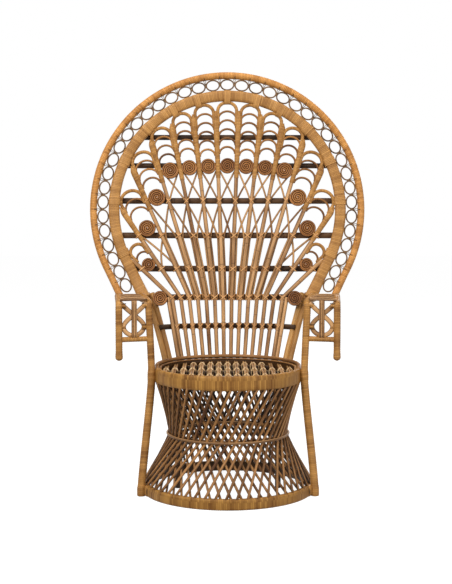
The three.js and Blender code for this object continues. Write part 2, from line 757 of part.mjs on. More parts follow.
function armPanel(side) {
  const place = (p, z, lift) => {
    const share = p / panelLength;
    const x = between(LEG_TOP_X, STUB_X, share) - (lift * (LEG_TOP_Y - STUB_Y)) / panelLength;
    const y = between(LEG_TOP_Y, STUB_Y, share) - (lift * (STUB_X - LEG_TOP_X)) / panelLength;
    return at(side * x, y, z);
  };
  const start = LEG_RADIUS + GAP + 1;
  const end = panelLength - ARM_POLE - GAP;
  const middle = (start + end) / 2;
  const bottom = PANEL_BAR_HEIGHT + PANEL_BAR_RADIUS;
  const top = ARM_HEIGHT - 9;
  const height = top - bottom;
  const half = (end - start) / 2 - FRET_RADIUS - 0.3;
  const strand = [
    [-1, 1],
    [-0.5, 0.84],
    [0, 0.7],
    [0.55, 0.55],
    [0.95, 0.4],
    [1, 0.27],
    [0.75, 0.13],
    [0.36, 0.05],
    [-0.1, 0.02],
  ];
  const down = (ARM_HEIGHT - 20 - PANEL_BAR_HEIGHT) / (ARM_HEIGHT - 26 - SEAT_TOP);
  const turned = LEG_SPLAY * ARM_WIDTH + (LEG_TOP_Y - LEG_SEAT_Y) * (STUB_Y - LEG_TOP_Y);
  const inward = turned / panelLength;
  const barStart = LEG_RADIUS + GAP - down * inward;
  const barEnds = [place(barStart, PANEL_BAR_HEIGHT, 0), place(end, PANEL_BAR_HEIGHT, 0)];
  const solids = [cane(barEnds, PANEL_BAR_RADIUS, 8)];
  for (const hand of [-1, 1]) {
    const stations = strand.map(([p, z]) => place(middle + hand * p * half, bottom + z * height, 0));
    solids.push(cane(stations, FRET_RADIUS, 4));
  }
  const upright = [
    new THREE.Vector2(-3, -UPRIGHT_WIDTH / 2),
    new THREE.Vector2(3, -UPRIGHT_WIDTH / 2),
    new THREE.Vector2(3, UPRIGHT_WIDTH / 2),
    new THREE.Vector2(-3, UPRIGHT_WIDTH / 2),
  ];
  solids.push(solidOf(sweep(upright, [place(middle, bottom - 3, 3), place(middle, top + 4, 3)])));
  return joined(solids);
}

// The arm's top: three rungs between the two rails, on one cane that runs along the arm.
function armTop(side) {
  const z = ARM_TOP - LEG_RADIUS;
  const along = (share) => {
    const y = between(LEG_TOP_Y + 22, between(LEG_TOP_Y, armEndY, RUNGS_SHARE), share);
    const inX = between(LEG_TOP_X, armEndX, (y - LEG_TOP_Y) / (armEndY - LEG_TOP_Y));
    const outX = between(STUB_X, outerEndX, (y - STUB_Y) / (outerEndY - STUB_Y));
    return { y, inX, outX };
  };
  const solids = [];
  for (const share of [0, 0.5, 1]) {
    const { y, inX, outX } = along(share);
    solids.push(cane([at(side * inX, y, z), at(side * outX, y, z)], RUNG_RADIUS, 6));
  }
  const [a, b] = [along(0), along(1)];
  const middle = (end) => (end.inX + end.outX) / 2;
  const low = z - 1.5 * RUNG_RADIUS;
  const ends = [at(side * middle(a), a.y - 3, low), at(side * middle(b), b.y + 3, low)];
  solids.push(cane(ends, RUNG_RADIUS, 6));
  const rails = joined([leg(side, LEG_RADIUS + GAP), armRail(side, ARM_POLE + GAP)]);
  return joined(solids).subtract(rails);
}

const POST_PLACE = waistInside - INNER_POST_RADIUS - 1;

for (const side of [-1, 1]) {
  addPiece(arms, wrapped, `leg_${sideName(side)}`, leg(side, LEG_RADIUS));
  addPiece(arms, wrapped, `arm_rail_${sideName(side)}`, armRail(side, ARM_POLE));
  addPiece(arms, peeled, `arm_panel_${sideName(side)}`, armPanel(side));
  addPiece(arms, peeled, `arm_top_${sideName(side)}`, armTop(side));
  const y = CROSS_BAR_PLACES[1];
  const x = side * Math.sqrt(POST_PLACE ** 2 - y ** 2);
  const post = [at(x, y, 0), at(x, y, CROSS_BAR_HEIGHT - CROSS_BAR * 0.71 - GAP)];
  addPiece(base, dark, `inner_post_${sideName(side)}`, cane(post, INNER_POST_RADIUS, 8));
}

// The origin is on the floor, under the middle of the chair's outline.
const outline = new THREE.Box3().setFromObject(chair, true);
for (const group of chair.children) group.position.y = -(outline.min.y + outline.max.y) / 2;

export default chair;
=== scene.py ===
"""Peacock chair in rattan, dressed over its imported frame.

Every piece is a section carried along a path, worked out with numpy as whole arrays.
Lengths are metres, X to the right, Y to the back, Z up. The paths are drawn with the seat's
axis at y = 0 and moved to the frame's own place when their mesh is made.
"""

import bpy
import numpy as np
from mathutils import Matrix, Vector


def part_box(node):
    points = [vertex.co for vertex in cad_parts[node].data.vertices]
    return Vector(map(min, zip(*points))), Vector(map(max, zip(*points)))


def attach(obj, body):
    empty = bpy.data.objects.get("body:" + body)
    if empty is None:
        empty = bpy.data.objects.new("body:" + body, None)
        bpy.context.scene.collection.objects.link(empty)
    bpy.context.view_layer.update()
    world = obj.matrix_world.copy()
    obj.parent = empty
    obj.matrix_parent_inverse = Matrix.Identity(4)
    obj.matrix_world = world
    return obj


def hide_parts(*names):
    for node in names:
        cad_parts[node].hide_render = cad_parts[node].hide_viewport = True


bl_info = {
    "name": "Peacock chair",
    "version": (1, 0, 0),
    "blender": (4, 5, 0),
    "location": "View3D > Sidebar > Peacock chair",
    "description": "Builds a rattan peacock chair piece by piece",
    "category": "Add Mesh",
}

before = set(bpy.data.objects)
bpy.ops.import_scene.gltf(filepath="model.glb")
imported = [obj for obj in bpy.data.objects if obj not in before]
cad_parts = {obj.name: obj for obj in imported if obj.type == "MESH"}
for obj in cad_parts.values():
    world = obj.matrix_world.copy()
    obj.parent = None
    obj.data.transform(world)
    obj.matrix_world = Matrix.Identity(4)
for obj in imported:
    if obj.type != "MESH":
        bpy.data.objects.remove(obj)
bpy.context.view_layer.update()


def box_of(node):
    """A node's lowest and highest corner as arrays."""
    low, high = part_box(node)
    return np.array(low), np.array(high)


BASE_LOW, BASE_HIGH = box_of("base_ring")
SEAT_LOW, SEAT_HIGH = box_of("seat_band")
AXIS_Y = (BASE_LOW[1] + BASE_HIGH[1]) / 2
SIDES = {-1: "left", 1: "right"}
UP = np.array([0.0, 0.0, 1.0])
BACK = np.array([0.0, 1.0, 0.0])
RIGHT = np.array([1.0, 0.0, 0.0])

# The hoops: the lean of their straight runs, and how far their ends settle on and sink into the arms.
HOOP_TURN = np.radians(26.5)
ROUND_HALF = np.pi / 2 + HOOP_TURN
OUTER_SETTLE = 0.003
INNER_SETTLE = 0.004
HOOP_SINK = 0.012

# The fan: heights of bars and coils from the hoop's centre as shares of its radius, the low bar's as a
# share of the way from seat to hub, coil sizes, counts of arches and ribs, how the ribs spread and curl,
# their pitch at hub and foot as shares of the opening and the seat's radius, and where both lie.
BAR_SHARES = np.array([0.6335, 0.381, 0.068, -0.238, -0.5316])
LOW_BAR_SHARE = 0.534
COIL_SHARES = np.array([0.398, 0.393, 0.38, 0.354, 0.104, -0.182, -0.517])
COIL_RADII = np.array([0.029, 0.029, 0.029, 0.031, 0.032, 0.031, 0.027])
ARCH_COUNTS = [6, 6, 5, 4, 4, 3, 2]
RIB_PAIRS = 7
FAN_SPREAD = 0.08
FAN_CURL = 0.24
CURLED_RIB = 5.5
CURL_POWER = 5
HUB_SHARE = 0.1075
FOOT_SHARE = 0.1008
HUB_DROP = 0.016
FOOT_DROP = 0.025

# The back's surface, the seat rail and the layer of crossing canes behind the ribs.
BACK_LEAN = np.tan(np.radians(7))
BACK_CLEARANCE = 0.0051
ROUND_SHARE = 0.94
RAIL_RADIUS = 0.0075
RAIL_LIFT = 0.0069
CROSS_CANE = 0.0034

# Legs and arm rails: their depths from the seat's axis, a leg's spread above the seat, the stub's tip, the
# bend from upright to level as three points counted from the corner, and the lap on the hoops' ends.
LEG_FOOT_Y = -0.092
LEG_SEAT_Y = -0.045
LEG_TOP_Y = -0.040
LEG_SPREAD = 0.0095
STUB_Y = -0.075
STUB_BOTTOM = 0.447
BEND = np.array([[0.0, 0.0, -0.020], [0.0, 0.005, -0.006], [0.001, 0.018, 0.0]])
BEND_REACH = BEND[-1, 1]
INNER_LAP = 0.006
OUTER_LAP = 0.002

# A plume's arches: their inset from the hoop and lap on the ribs as shares of the arch cane's radius,
# their rise as a share of half their width, the least width, the steps of the curve, the places tried
# for the topmost one, and a hair's breadth that lengths may differ by and count as the same.
ARCH_INSET = 0.8
ARCH_LAP = 0.45
ARCH_RISE = 0.9
ARCH_LEAST = 0.024
ARCH_STEPS = 22
SPRING_TRIES = np.arange(0.4, 0, -0.0005)
HAIR = 0.00001

# Wound strips: points to each strip, how much the bulge of a pole's strips takes off between them,
# and the length by which a random draw shifts each cane's pattern.
WINDING_STEPS = 4
POLE_BULGE = 0.06
HOOP_BULGE = 0.05
FLAT_BULGE = 0.03
BAND_BULGE = 0.025
PATTERN_SHIFT = 3


def linear(red, green, blue):
    """A colour given in display values from 0 to 255, as the linear values that Blender keeps."""
    shown = np.array([red, green, blue]) / 255
    low = shown / 12.92
    high = ((shown + 0.055) / 1.055) ** 2.4
    return tuple(float(value) for value in np.where(shown <= 0.04045, low, high))


def length_property(name, description, default):
    """A length in metres."""
    return bpy.props.FloatProperty(
        name=name, description=description, default=float(default), unit="LENGTH", precision=4
    )


def colour_property(name, description, *shown):
    """A colour, given in display values."""
    return bpy.props.FloatVectorProperty(
        name=name, description=description, default=linear(*shown), size=3, subtype="COLOR", min=0, max=1
    )


class ChairSizes(bpy.types.PropertyGroup):
    """Real sizes of the chair, in metres."""

    seat_top: length_property("Seat top", "Height of the seat band's top", SEAT_HIGH[2])
    seat_radius: length_property("Seat radius", "Outside of the seat band", SEAT_HIGH[0])
    seat_band: length_property("Seat band", "Height of the seat band", SEAT_HIGH[2] - SEAT_LOW[2])
    base_radius: length_property("Base radius", "Outside of the base ring", BASE_HIGH[0])
    base_band: length_property("Base ring", "Height of the base ring", BASE_HIGH[2])
    band_thickness: length_property("Band thickness", "Wall of the seat band and base ring", 0.020)
    waist_height: length_property("Waist height", "Height of the lattice's waist", 0.196)
    waist_radius: length_property("Waist radius", "Outside of the lattice's waist", 0.201)
    stick_radius: length_property("Lattice cane", "Radius of a lattice cane", 0.00375)
    hoop_opening: length_property("Hoop opening", "Half the inner hoop's opening at the arms", 0.2855)
    hoop_radius: length_property("Inner hoop", "Radius of the inner hoop's middle", 0.412)
    hoop_width: length_property("Hoop band", "Width of the inner hoop's band", 0.040)
    hoop_depth: length_property("Hoop depth", "Depth of the inner hoop's band", 0.0246)
    ring_gap: length_property("Ring row", "Width of the row of rings", 0.042)
    ring_cane: length_property("Ring cane", "Radius of a ring's cane", 0.0025)
    outer_pole: length_property("Outer hoop", "Radius of the outer hoop's pole", 0.013)
    bar_radius: length_property("Bar", "Radius of a back bar", 0.0085)
    rib_radius: length_property("Rib", "Radius of a rib", 0.006)
    arch_pitch: length_property("Arch pitch", "Step from one nested arch to the next", 0.0315)
    arch_radius: length_property("Arch cane", "Radius of a plume's top arch", 0.0045)
    edge_coil: length_property("Edge coil", "Radius of the coils beside the lower ribs", 0.027)
    coil_cane: length_property("Coil cane", "Radius of a coil's cane", 0.0034)
    pole_radius: length_property("Back pole", "Radius of a back pole", 0.009)
    arm_height: length_property("Arm height", "Height of the arm rails' middle", 0.6385)
    leg_radius: length_property("Leg", "Radius of a leg", 0.0115)
    arm_pole: length_property("Arm rail", "Radius of an arm rail", 0.011)
    arm_width: length_property("Arm width", "Across one arm, from leg to stub", 0.096)
    strip: length_property("Strip", "Width of the peel strip wound round a pole", 0.0058)


class ChairColours(bpy.types.PropertyGroup):
    """Light and dark tones of each finish."""

    strip_light: colour_property("Strip, light", "Light peel strip", 214, 152, 80)
    strip_dark: colour_property("Strip, dark", "Dark peel strip", 150, 94, 38)
    hoop_light: colour_property("Hoop band, light", "Light strip on the inner hoop", 200, 147, 82)
    hoop_dark: colour_property("Hoop band, dark", "Dark strip on the inner hoop", 146, 100, 50)
    band_light: colour_property("Band, light", "Light strip on the bands", 196, 144, 70)
    band_dark: colour_property("Band, dark", "Dark strip on the bands", 114, 72, 26)
    leg_light: colour_property("Leg, light", "Light strip on legs and arms", 194, 141, 74)
    leg_dark: colour_property("Leg, dark", "Dark strip on legs and arms", 124, 80, 34)
    rib_light: colour_property("Rib, light", "Light side of a rib", 206, 158, 106)
    rib_dark: colour_property("Rib, dark", "Dark side of a rib", 112, 73, 40)
    slat_light: colour_property("Seat cane, light", "Light cane of the seat", 190, 145, 90)
    slat_dark: colour_property("Seat cane, dark", "Dark cane of the seat", 122, 83, 43)
    bent_light: colour_property("Bent cane, light", "Light thin cane", 172, 118, 60)
    bent_dark: colour_property("Bent cane, dark", "Dark thin cane", 72, 38, 14)
    lattice_light: colour_property("Lattice, light", "Light lattice cane", 184, 132, 78)
    lattice_dark: colour_property("Lattice, dark", "Dark lattice cane", 78, 45, 20)
    cross_light: colour_property("Crossing cane, light", "Light crossing cane", 203, 154, 100)
    cross_dark: colour_property("Crossing cane, dark", "Dark crossing cane", 110, 72, 40)
    ring_light: colour_property("Ring, light", "Light cane of the rings", 136, 102, 66)
    ring_dark: colour_property("Ring, dark", "Dark cane of the rings", 68, 48, 30)
    coil_light: colour_property("Coil, light", "Light cane of the coils", 182, 122, 64)
    coil_dark: colour_property("Coil, dark", "Dark cane of the coils", 112, 66, 30)
    bark_light: colour_property("Bark, light", "Light side of a back pole", 216, 164, 96)
    bark_dark: colour_property("Bark, dark", "Dark side of a back pole", 144, 98, 50)
    pole_light: colour_property("Bar, light", "Light side of a back bar", 96, 66, 38)
    pole_dark: colour_property("Bar, dark", "Dark side of a back bar", 36, 22, 12)
    tie_light: colour_property("Seat lashing, light", "Light lashing on the seat", 230, 200, 154)
    tie_dark: colour_property("Seat lashing, dark", "Dark lashing on the seat", 186, 146, 96)
    lash_light: colour_property("Lashing, light", "Light lashing strip", 230, 178, 118)
    lash_dark: colour_property("Lashing, dark", "Dark lashing strip", 176, 118, 66)


class Plan:
    """Places that follow from the chair's sizes. Its formulas are those of the solids."""

    def __init__(self, sizes):
        self.sizes = s = sizes
        self.arm_top = s.arm_height + s.leg_radius
        self.inner_edge = s.hoop_radius - s.hoop_width / 2
        self.rim_edge = s.hoop_radius + s.hoop_width / 2
        self.outer_radius = self.rim_edge + s.ring_gap + s.outer_pole
        run = (self.inner_edge * np.cos(HOOP_TURN) - s.hoop_opening) / np.tan(HOOP_TURN)
        self.centre = self.arm_top + self.inner_edge * np.sin(HOOP_TURN) + run
        self.outer_end = self.hoop_end(self.outer_radius, self.outer_radius + s.outer_pole, OUTER_SETTLE)
        self.inner_end = self.hoop_end(s.hoop_radius, self.rim_edge, INNER_SETTLE)
        self.hub = self.arm_top - HUB_DROP
        self.hub_pitch = HUB_SHARE * s.hoop_opening
        self.foot_pitch = FOOT_SHARE * s.seat_radius
        self.rail_height = s.seat_top + RAIL_LIFT
        low_bar = s.seat_top + LOW_BAR_SHARE * (self.hub - s.seat_top)
        upper = self.centre + BAR_SHARES * s.hoop_radius
        self.bars = np.concatenate([upper, [self.hub, low_bar]])
        self.dish_top = self.bars[4]
        self.back_radius = s.seat_radius + BACK_CLEARANCE
        self.bar_layer = s.rib_radius + CROSS_CANE + CROSS_CANE + s.bar_radius
        self.leg_seat = self.tangent_x(s.seat_radius, LEG_SEAT_Y)
        self.leg_top = self.leg_seat + LEG_SPREAD
        self.stub = self.leg_top + s.arm_width

    def tangent_x(self, radius, y):
        """How far across a leg's middle lies when it touches a round band at a depth."""
        return np.sqrt((radius + self.sizes.leg_radius) ** 2 - y**2)

    def back_depth(self, x, z):
        """Depth of the back's surface: the seat's round at the rail, leaning back, flat higher up."""
        climb = np.maximum(0, z - self.rail_height)
        fade = np.maximum(0, 1 - climb / (self.dish_top - self.rail_height))
        reach = np.minimum(np.abs(x), ROUND_SHARE * self.back_radius)
        drop = self.back_radius - np.sqrt(self.back_radius**2 - reach**2)
        return self.back_radius + climb * BACK_LEAN - fade**2 * drop

    def on_back(self, x, z, layer=0.0):
        """Points of the back's drawing, given by x, z and a layer, laid on the back's surface."""
        x, z, layer = np.broadcast_arrays(x, z, layer)
        return np.stack([x, layer + self.back_depth(x, z), z], -1)

    def slope(self, j):
        """How far a rib goes across for each metre up: a share of its number, and a late curl."""
        return FAN_SPREAD * j + FAN_CURL * (j / CURLED_RIB) ** CURL_POWER

    def rib_x(self, j, z):
        """A rib's place across: it spreads from the rail to the hub and fans out above it."""
        share = np.maximum(0, (z - self.rail_height) / (self.hub - self.rail_height))
        low = j * (self.foot_pitch + (self.hub_pitch - self.foot_pitch) * share)
        high = j * self.hub_pitch + self.slope(j) * (z - self.hub)
        return np.where(z >= self.hub, high, low)

    def hoop_end(self, radius, outermost, settle):
        """The way from a hoop's top to its end, where the end's outer corner comes down on the arm."""
        height = self.arm_top - settle + (outermost - radius) * np.sin(HOOP_TURN)
        drop = self.centre - radius * np.sin(HOOP_TURN) - height
        return radius * ROUND_HALF + drop / np.cos(HOOP_TURN)

    def on_hoop(self, radius, way, layer=0.0):
        """Points of a hoop by the way from its top: a circle down to its turn, then a straight run."""
        bend = np.clip(way / radius, -ROUND_HALF, ROUND_HALF)
        run = np.maximum(0, np.abs(way) - radius * ROUND_HALF)
        x = radius * np.sin(bend) - np.sign(way) * run * np.sin(HOOP_TURN)
        z = self.centre + radius * np.cos(bend) - run * np.cos(HOOP_TURN)
        return self.on_back(x, z, layer)

    def hoop_reach(self, x, z):
        """How far out a point lies: from the hoop's centre, or from the line of its straight run."""
        x, drop = np.abs(x), self.centre - z
        past = drop * np.cos(HOOP_TURN) - x * np.sin(HOOP_TURN)
        return np.where(past > 0, x * np.cos(HOOP_TURN) + drop * np.sin(HOOP_TURN), np.hypot(x, drop))

    def hoop_half(self, reach, z):
        """Half the width inside a hoop at a height."""
        drop = self.centre - z
        half = np.sqrt(reach**2 - drop**2)
        run = (reach - drop * np.sin(HOOP_TURN)) / np.cos(HOOP_TURN)
        return np.where(drop * np.cos(HOOP_TURN) > half * np.sin(HOOP_TURN), run, half)

    def arm_ends(self):
        """Where the leg's arm and the arm rail meet the backs of the two hoops, as x and y of each."""
        s = self.sizes
        inner_x = self.on_hoop(s.hoop_radius, self.inner_end)[0] + INNER_LAP
        inner_y = self.back_depth(inner_x, self.arm_top) + s.hoop_depth / 2
        outer_x = self.on_hoop(self.outer_radius, self.outer_end)[0] + OUTER_LAP
        outer_y = self.back_depth(outer_x, self.arm_top) + s.outer_pole
        return inner_x, inner_y, outer_x, outer_y


class Plume:
    """One plume's own axes: s runs up from its coil's centre, t to the right."""

    def __init__(self, plan, column):
        self.plan = plan
        self.column = column
        slope = plan.slope(column)
        self.up = np.array([slope, 1]) / np.hypot(slope, 1)
        self.right = np.array([self.up[1], -self.up[0]])
        z = plan.centre + COIL_SHARES[column] * plan.inner_edge
        self.middle = np.array([column * plan.hub_pitch + slope * (z - plan.hub), z])
        self.limit = plan.inner_edge - plan.sizes.arch_radius * ARCH_INSET
        self.leg = plan.sizes.rib_radius + plan.sizes.arch_radius * ARCH_LAP
        from_centre = self.middle - np.array([0, plan.centre])
        self.rise = from_centre @ self.up
        self.out = from_centre @ self.right

    def toward(self, s, t):
        """x and z of a point of the plume."""
        x = self.middle[0] + s * self.up[0] + t * self.right[0]
        z = self.middle[1] + s * self.up[1] + t * self.right[1]
        return x, z

    def rib_offset(self, j, s):
        """How far to the right of the plume's axis a rib lies."""
        lean = self.plan.slope(j)
        x, z = self.toward(s, 0)
        across = j * self.plan.hub_pitch + lean * (z - self.plan.hub) - x
        return across / (self.right[0] - lean * self.right[1])

    def round_offset(self, s):
        """Half the chord of the hoop's round, square to the plume's axis."""
        return np.sqrt(np.maximum(0, self.limit**2 - (self.rise + s) ** 2))

    def hoop_offset(self, s):
        """How far to the right of the plume's axis the hoop lies, on its round or its straight run."""
        offset = self.round_offset(s) - self.out
        reach = self.plan.hoop_reach(*self.toward(s, offset))
        x, z = self.toward(s, 0)
        inside = self.limit - x * np.cos(HOOP_TURN) - (self.plan.centre - z) * np.sin(HOOP_TURN)
        run = inside / (self.right[0] * np.cos(HOOP_TURN) - self.right[1] * np.sin(HOOP_TURN))
        return np.where(reach < self.limit - HAIR, run, offset)

    def left(self, s):
        """Where an arch's left leg stands: on the rib, or on the hoop if that comes first."""
        rib = self.rib_offset(self.column - 0.5, s) + self.leg
        return np.maximum(rib, -self.round_offset(s) - self.out)

    def edge(self, s):
        """Where an arch's right leg stands: on the rib, or on the hoop if that comes first."""
        return np.minimum(self.rib_offset(self.column + 0.5, s) - self.leg, self.hoop_offset(s))

    def arch(self, spring):
        """Half an ellipse from the left rib over to the right one, as s and t. Springs may be an array."""
        start, end = self.left(spring), self.edge(spring)
        half = (end - start) / 2
        angle = np.linspace(0, np.pi, ARCH_STEPS + 1)
        s = np.multiply.outer(ARCH_RISE * half, np.sin(angle)) + np.expand_dims(spring, -1)
        t = np.expand_dims((start + end) / 2, -1) - np.multiply.outer(half, np.cos(angle))
        return s, t

    def top_spring(self):
        """The highest place at which an arch still clears the hoop."""
        s, t = self.arch(SPRING_TRIES)
        inside = self.plan.hoop_reach(*self.toward(s, t)) < self.limit
        wide = self.edge(SPRING_TRIES) - self.left(SPRING_TRIES) > ARCH_LEAST
        return SPRING_TRIES[np.argmax(np.all(inside, -1) & wide)]

    def springs(self):
        """The places of the nested arches, from the topmost down."""
        count = ARCH_COUNTS[self.column]
        return self.top_spring() - np.arange(count) * self.plan.sizes.arch_pitch

    def coil_reach(self):
        """The coil's radius: its own, or what fits between the ribs."""
        room = min(-self.left(0.0), self.edge(0.0)) + self.plan.sizes.arch_radius
        return min(COIL_RADII[self.column], room)


def full_turn(steps):
    """The angles of a closed loop."""
    return 2 * np.pi * np.arange(steps) / steps


def eased(points, rounds=3):
    """Cuts each corner of a path at a quarter of its sides, again and again, and keeps the ends."""
    path = np.asarray(points, float)
    for _ in range(rounds):
        near = 0.75 * path[:-1] + 0.25 * path[1:]
        far = 0.25 * path[:-1] + 0.75 * path[1:]
        cut = np.stack([near, far], 1).reshape(-1, 3)
        path = np.concatenate([path[:1], cut[1:-1], path[-1:]])
    return path


def even(path, step):
    """The same path with points a step apart."""
    along = np.concatenate([[0], np.cumsum(np.linalg.norm(np.diff(path, axis=0), axis=1))])
    places = np.linspace(0, along[-1], int(np.ceil(along[-1] / step)) + 1)
    return np.stack([np.interp(places, along, path[:, axis]) for axis in range(3)], -1)


def bulged(count, depth):
    """The swell of strips that bulge in their middle: one less the depth times the cube of a cosine."""
    phase = np.arange(count) / WINDING_STEPS
    return 1 - depth * np.abs(np.cos(np.pi * phase)) ** 3


def wound(path, strip, depth):
    """A path with four points to each strip wound round it, and the strips' swell."""
    fine = even(path, strip / WINDING_STEPS)
    return fine, bulged(len(fine), depth)


def mirrored(path, side):
    """A path drawn for the right, on the side given as -1 or 1."""
    return np.asarray(path, float) * np.array([side, 1, 1])


def round_seat(radius, angle, z):
    """Points round the seat's axis, with the angle counted from the front."""
    radius, angle, z = np.broadcast_arrays(radius, angle, z)
    return np.stack([radius * np.sin(angle), -radius * np.cos(angle), z], -1)


def bell(value, middle, half, power):
    """One at the middle and less on both sides: e to minus a power of the distance as a share of half."""
    return np.exp(-(((value - middle) / half) ** power))


def signed_power(value, power):
    """A value's size to a power, with its own sign."""
    return np.sign(value) * np.abs(value) ** power


def outline(across, deep, sides, power=2.0):
    """A rounded section: the superellipse in which both halves' shares, to that power, make one."""
    angle = 2 * np.pi * (np.arange(sides) + 0.5) / sides
    ring = np.stack([np.cos(angle), np.sin(angle)], -1)
    return np.array([across, deep]) * signed_power(ring, 2 / power)


def round_outline(radius, sides=8):
    """A round section."""
    return outline(radius, radius, sides)


class Canes:
    """Swept canes that become one mesh."""

    def __init__(self, seed):
        self.random = np.random.default_rng(seed)
        self.points = []
        self.corners = []
        self.lay = []
        self.totals = []
        self.shades = []
        self.count = 0

    def add(self, paths, facing, section, swell=1.0, closed=False):
        """Carries a section along one path or several of the same length.

        With the path's direction d, the section's first axis is d x facing and its second is
        that axis x d. A point is the path's point plus both section values, times the swell,
        which is one number or one for each point of the path.
        """
        paths = np.asarray(paths, float)
        if paths.ndim == 2:
            paths = paths[None]
        strands, stations, _ = paths.shape
        sides = len(section)
        if closed:
            ahead = np.roll(paths, -1, 1) - np.roll(paths, 1, 1)
        else:
            ahead = np.gradient(paths, axis=1)
        ahead /= np.linalg.norm(ahead, axis=-1, keepdims=True)
        across = np.cross(ahead, np.broadcast_to(facing, paths.shape))
        across /= np.linalg.norm(across, axis=-1, keepdims=True)
        out = np.cross(across, ahead)
        swell = np.reshape(np.asarray(swell, float), (1, -1, 1))
        scale = np.broadcast_to(swell, (strands, stations, sides))[..., None]
        ring = section[:, :1] * across[:, :, None] + section[:, 1:] * out[:, :, None]
        skin = paths[:, :, None] + scale * ring
        self._faces(skin, paths, closed)

    def wind(self, path, facing, section, strip, depth):
        """Carries a section along a path as a pole wound with strips."""
        path, swell = wound(path, strip, depth)
        self.add(path, facing, section, swell)

    def _faces(self, skin, paths, closed):
        """Four-sided faces between the rings of points, and a fan of triangles on each open end."""
        strands, stations, sides, _ = skin.shape
        size = stations * sides
        index = self.count + np.arange(strands * size).reshape(strands, stations, sides)
        rows = index if not closed else np.concatenate([index, index[:, :1]], 1)
        step = np.linalg.norm(np.diff(paths, axis=1), axis=-1)
        along = np.concatenate([np.zeros((strands, 1)), np.cumsum(step, 1)], 1)
        if closed:
            last = np.linalg.norm(paths[:, 0] - paths[:, -1], axis=-1)
            along = np.concatenate([along, along[:, -1:] + last[:, None]], 1)
        shade = self.random.random(strands)
        along = along + PATTERN_SHIFT * shade[:, None]
        turned = np.roll(rows, -1, 2)
        quads = np.stack([rows[:, :-1], rows[:, 1:], turned[:, 1:], turned[:, :-1]], -1)
        u = np.broadcast_to(along[:, :, None], rows.shape)
        v = np.broadcast_to((np.arange(sides) + 0.5) / sides, rows.shape)
        w = v + 1 / sides
        u_corners = np.stack([u[:, :-1], u[:, 1:], u[:, 1:], u[:, :-1]], -1)
        v_corners = np.stack([v[:, :-1], v[:, 1:], w[:, 1:], w[:, :-1]], -1)
        self._keep(skin, np.repeat(shade, size), quads, u_corners, v_corners)
        if closed:
            return
        poles = self.count + np.arange(2 * strands).reshape(strands, 2)
        start, end = index[:, 0], index[:, -1]
        head = np.broadcast_to(poles[:, :1], start.shape)
        tail = np.broadcast_to(poles[:, 1:], end.shape)
        low = np.stack([head, start, np.roll(start, -1, 1)], -1)
        high = np.stack([tail, np.roll(end, -1, 1), end], -1)
        caps = np.stack([low, high], 1)
        ends = np.stack([along[:, 0], along[:, -1]], 1)
        u_caps = np.broadcast_to(ends[:, :, None, None], caps.shape)
        v_caps = np.broadcast_to(np.arange(sides)[:, None] / sides, caps.shape)
        self._keep(paths[:, [0, -1]], np.repeat(shade, 2), caps, u_caps, v_caps)

    def _keep(self, points, shades, faces, u, v):
        """Keeps points with their shades, and faces of as many corners as their last axis has."""
        points = points.reshape(-1, 3)
        corners = faces.shape[-1]
        self.points.append(points)
        self.shades.append(shades)
        self.corners.append(faces.ravel())
        self.lay.append(np.stack([u, v], -1).reshape(-1, 2))
        self.totals.append(np.full(faces.size // corners, corners))
        self.count += len(points)

    def make(self, name, material, slot, *nodes):
        """Makes the mesh, gives it its finish and lets it stand for the frame's nodes."""
        points = np.concatenate(self.points) + np.array([0, AXIS_Y, 0])
        corners = np.concatenate(self.corners)
        totals = np.concatenate(self.totals)
        starts = np.concatenate([[0], np.cumsum(totals)[:-1]])
        mesh = bpy.data.meshes.new(name)
        mesh.vertices.add(len(points))
        mesh.vertices.foreach_set("co", points.astype(np.float32).ravel())
        mesh.loops.add(len(corners))
        mesh.loops.foreach_set("vertex_index", corners.astype(np.int32))
        mesh.polygons.add(len(totals))
        mesh.polygons.foreach_set("loop_start", starts.astype(np.int32))
        mesh.update(calc_edges=True)
        mesh.shade_smooth()
        lay = mesh.uv_layers.new(name="lay")
        lay.uv.foreach_set("vector", np.concatenate(self.lay).astype(np.float32).ravel())
        shade = mesh.attributes.new("shade", "FLOAT", "POINT")
        shade.data.foreach_set("value", np.concatenate(self.shades).astype(np.float32))
        if mesh.validate():
            raise RuntimeError(f"{name} has faulty faces")
        mesh.materials.append(material)
        piece = bpy.data.objects.new(name, mesh)
        bpy.context.scene.collection.objects.link(piece)
        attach(piece, "root")
        if nodes:
            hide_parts(*nodes)


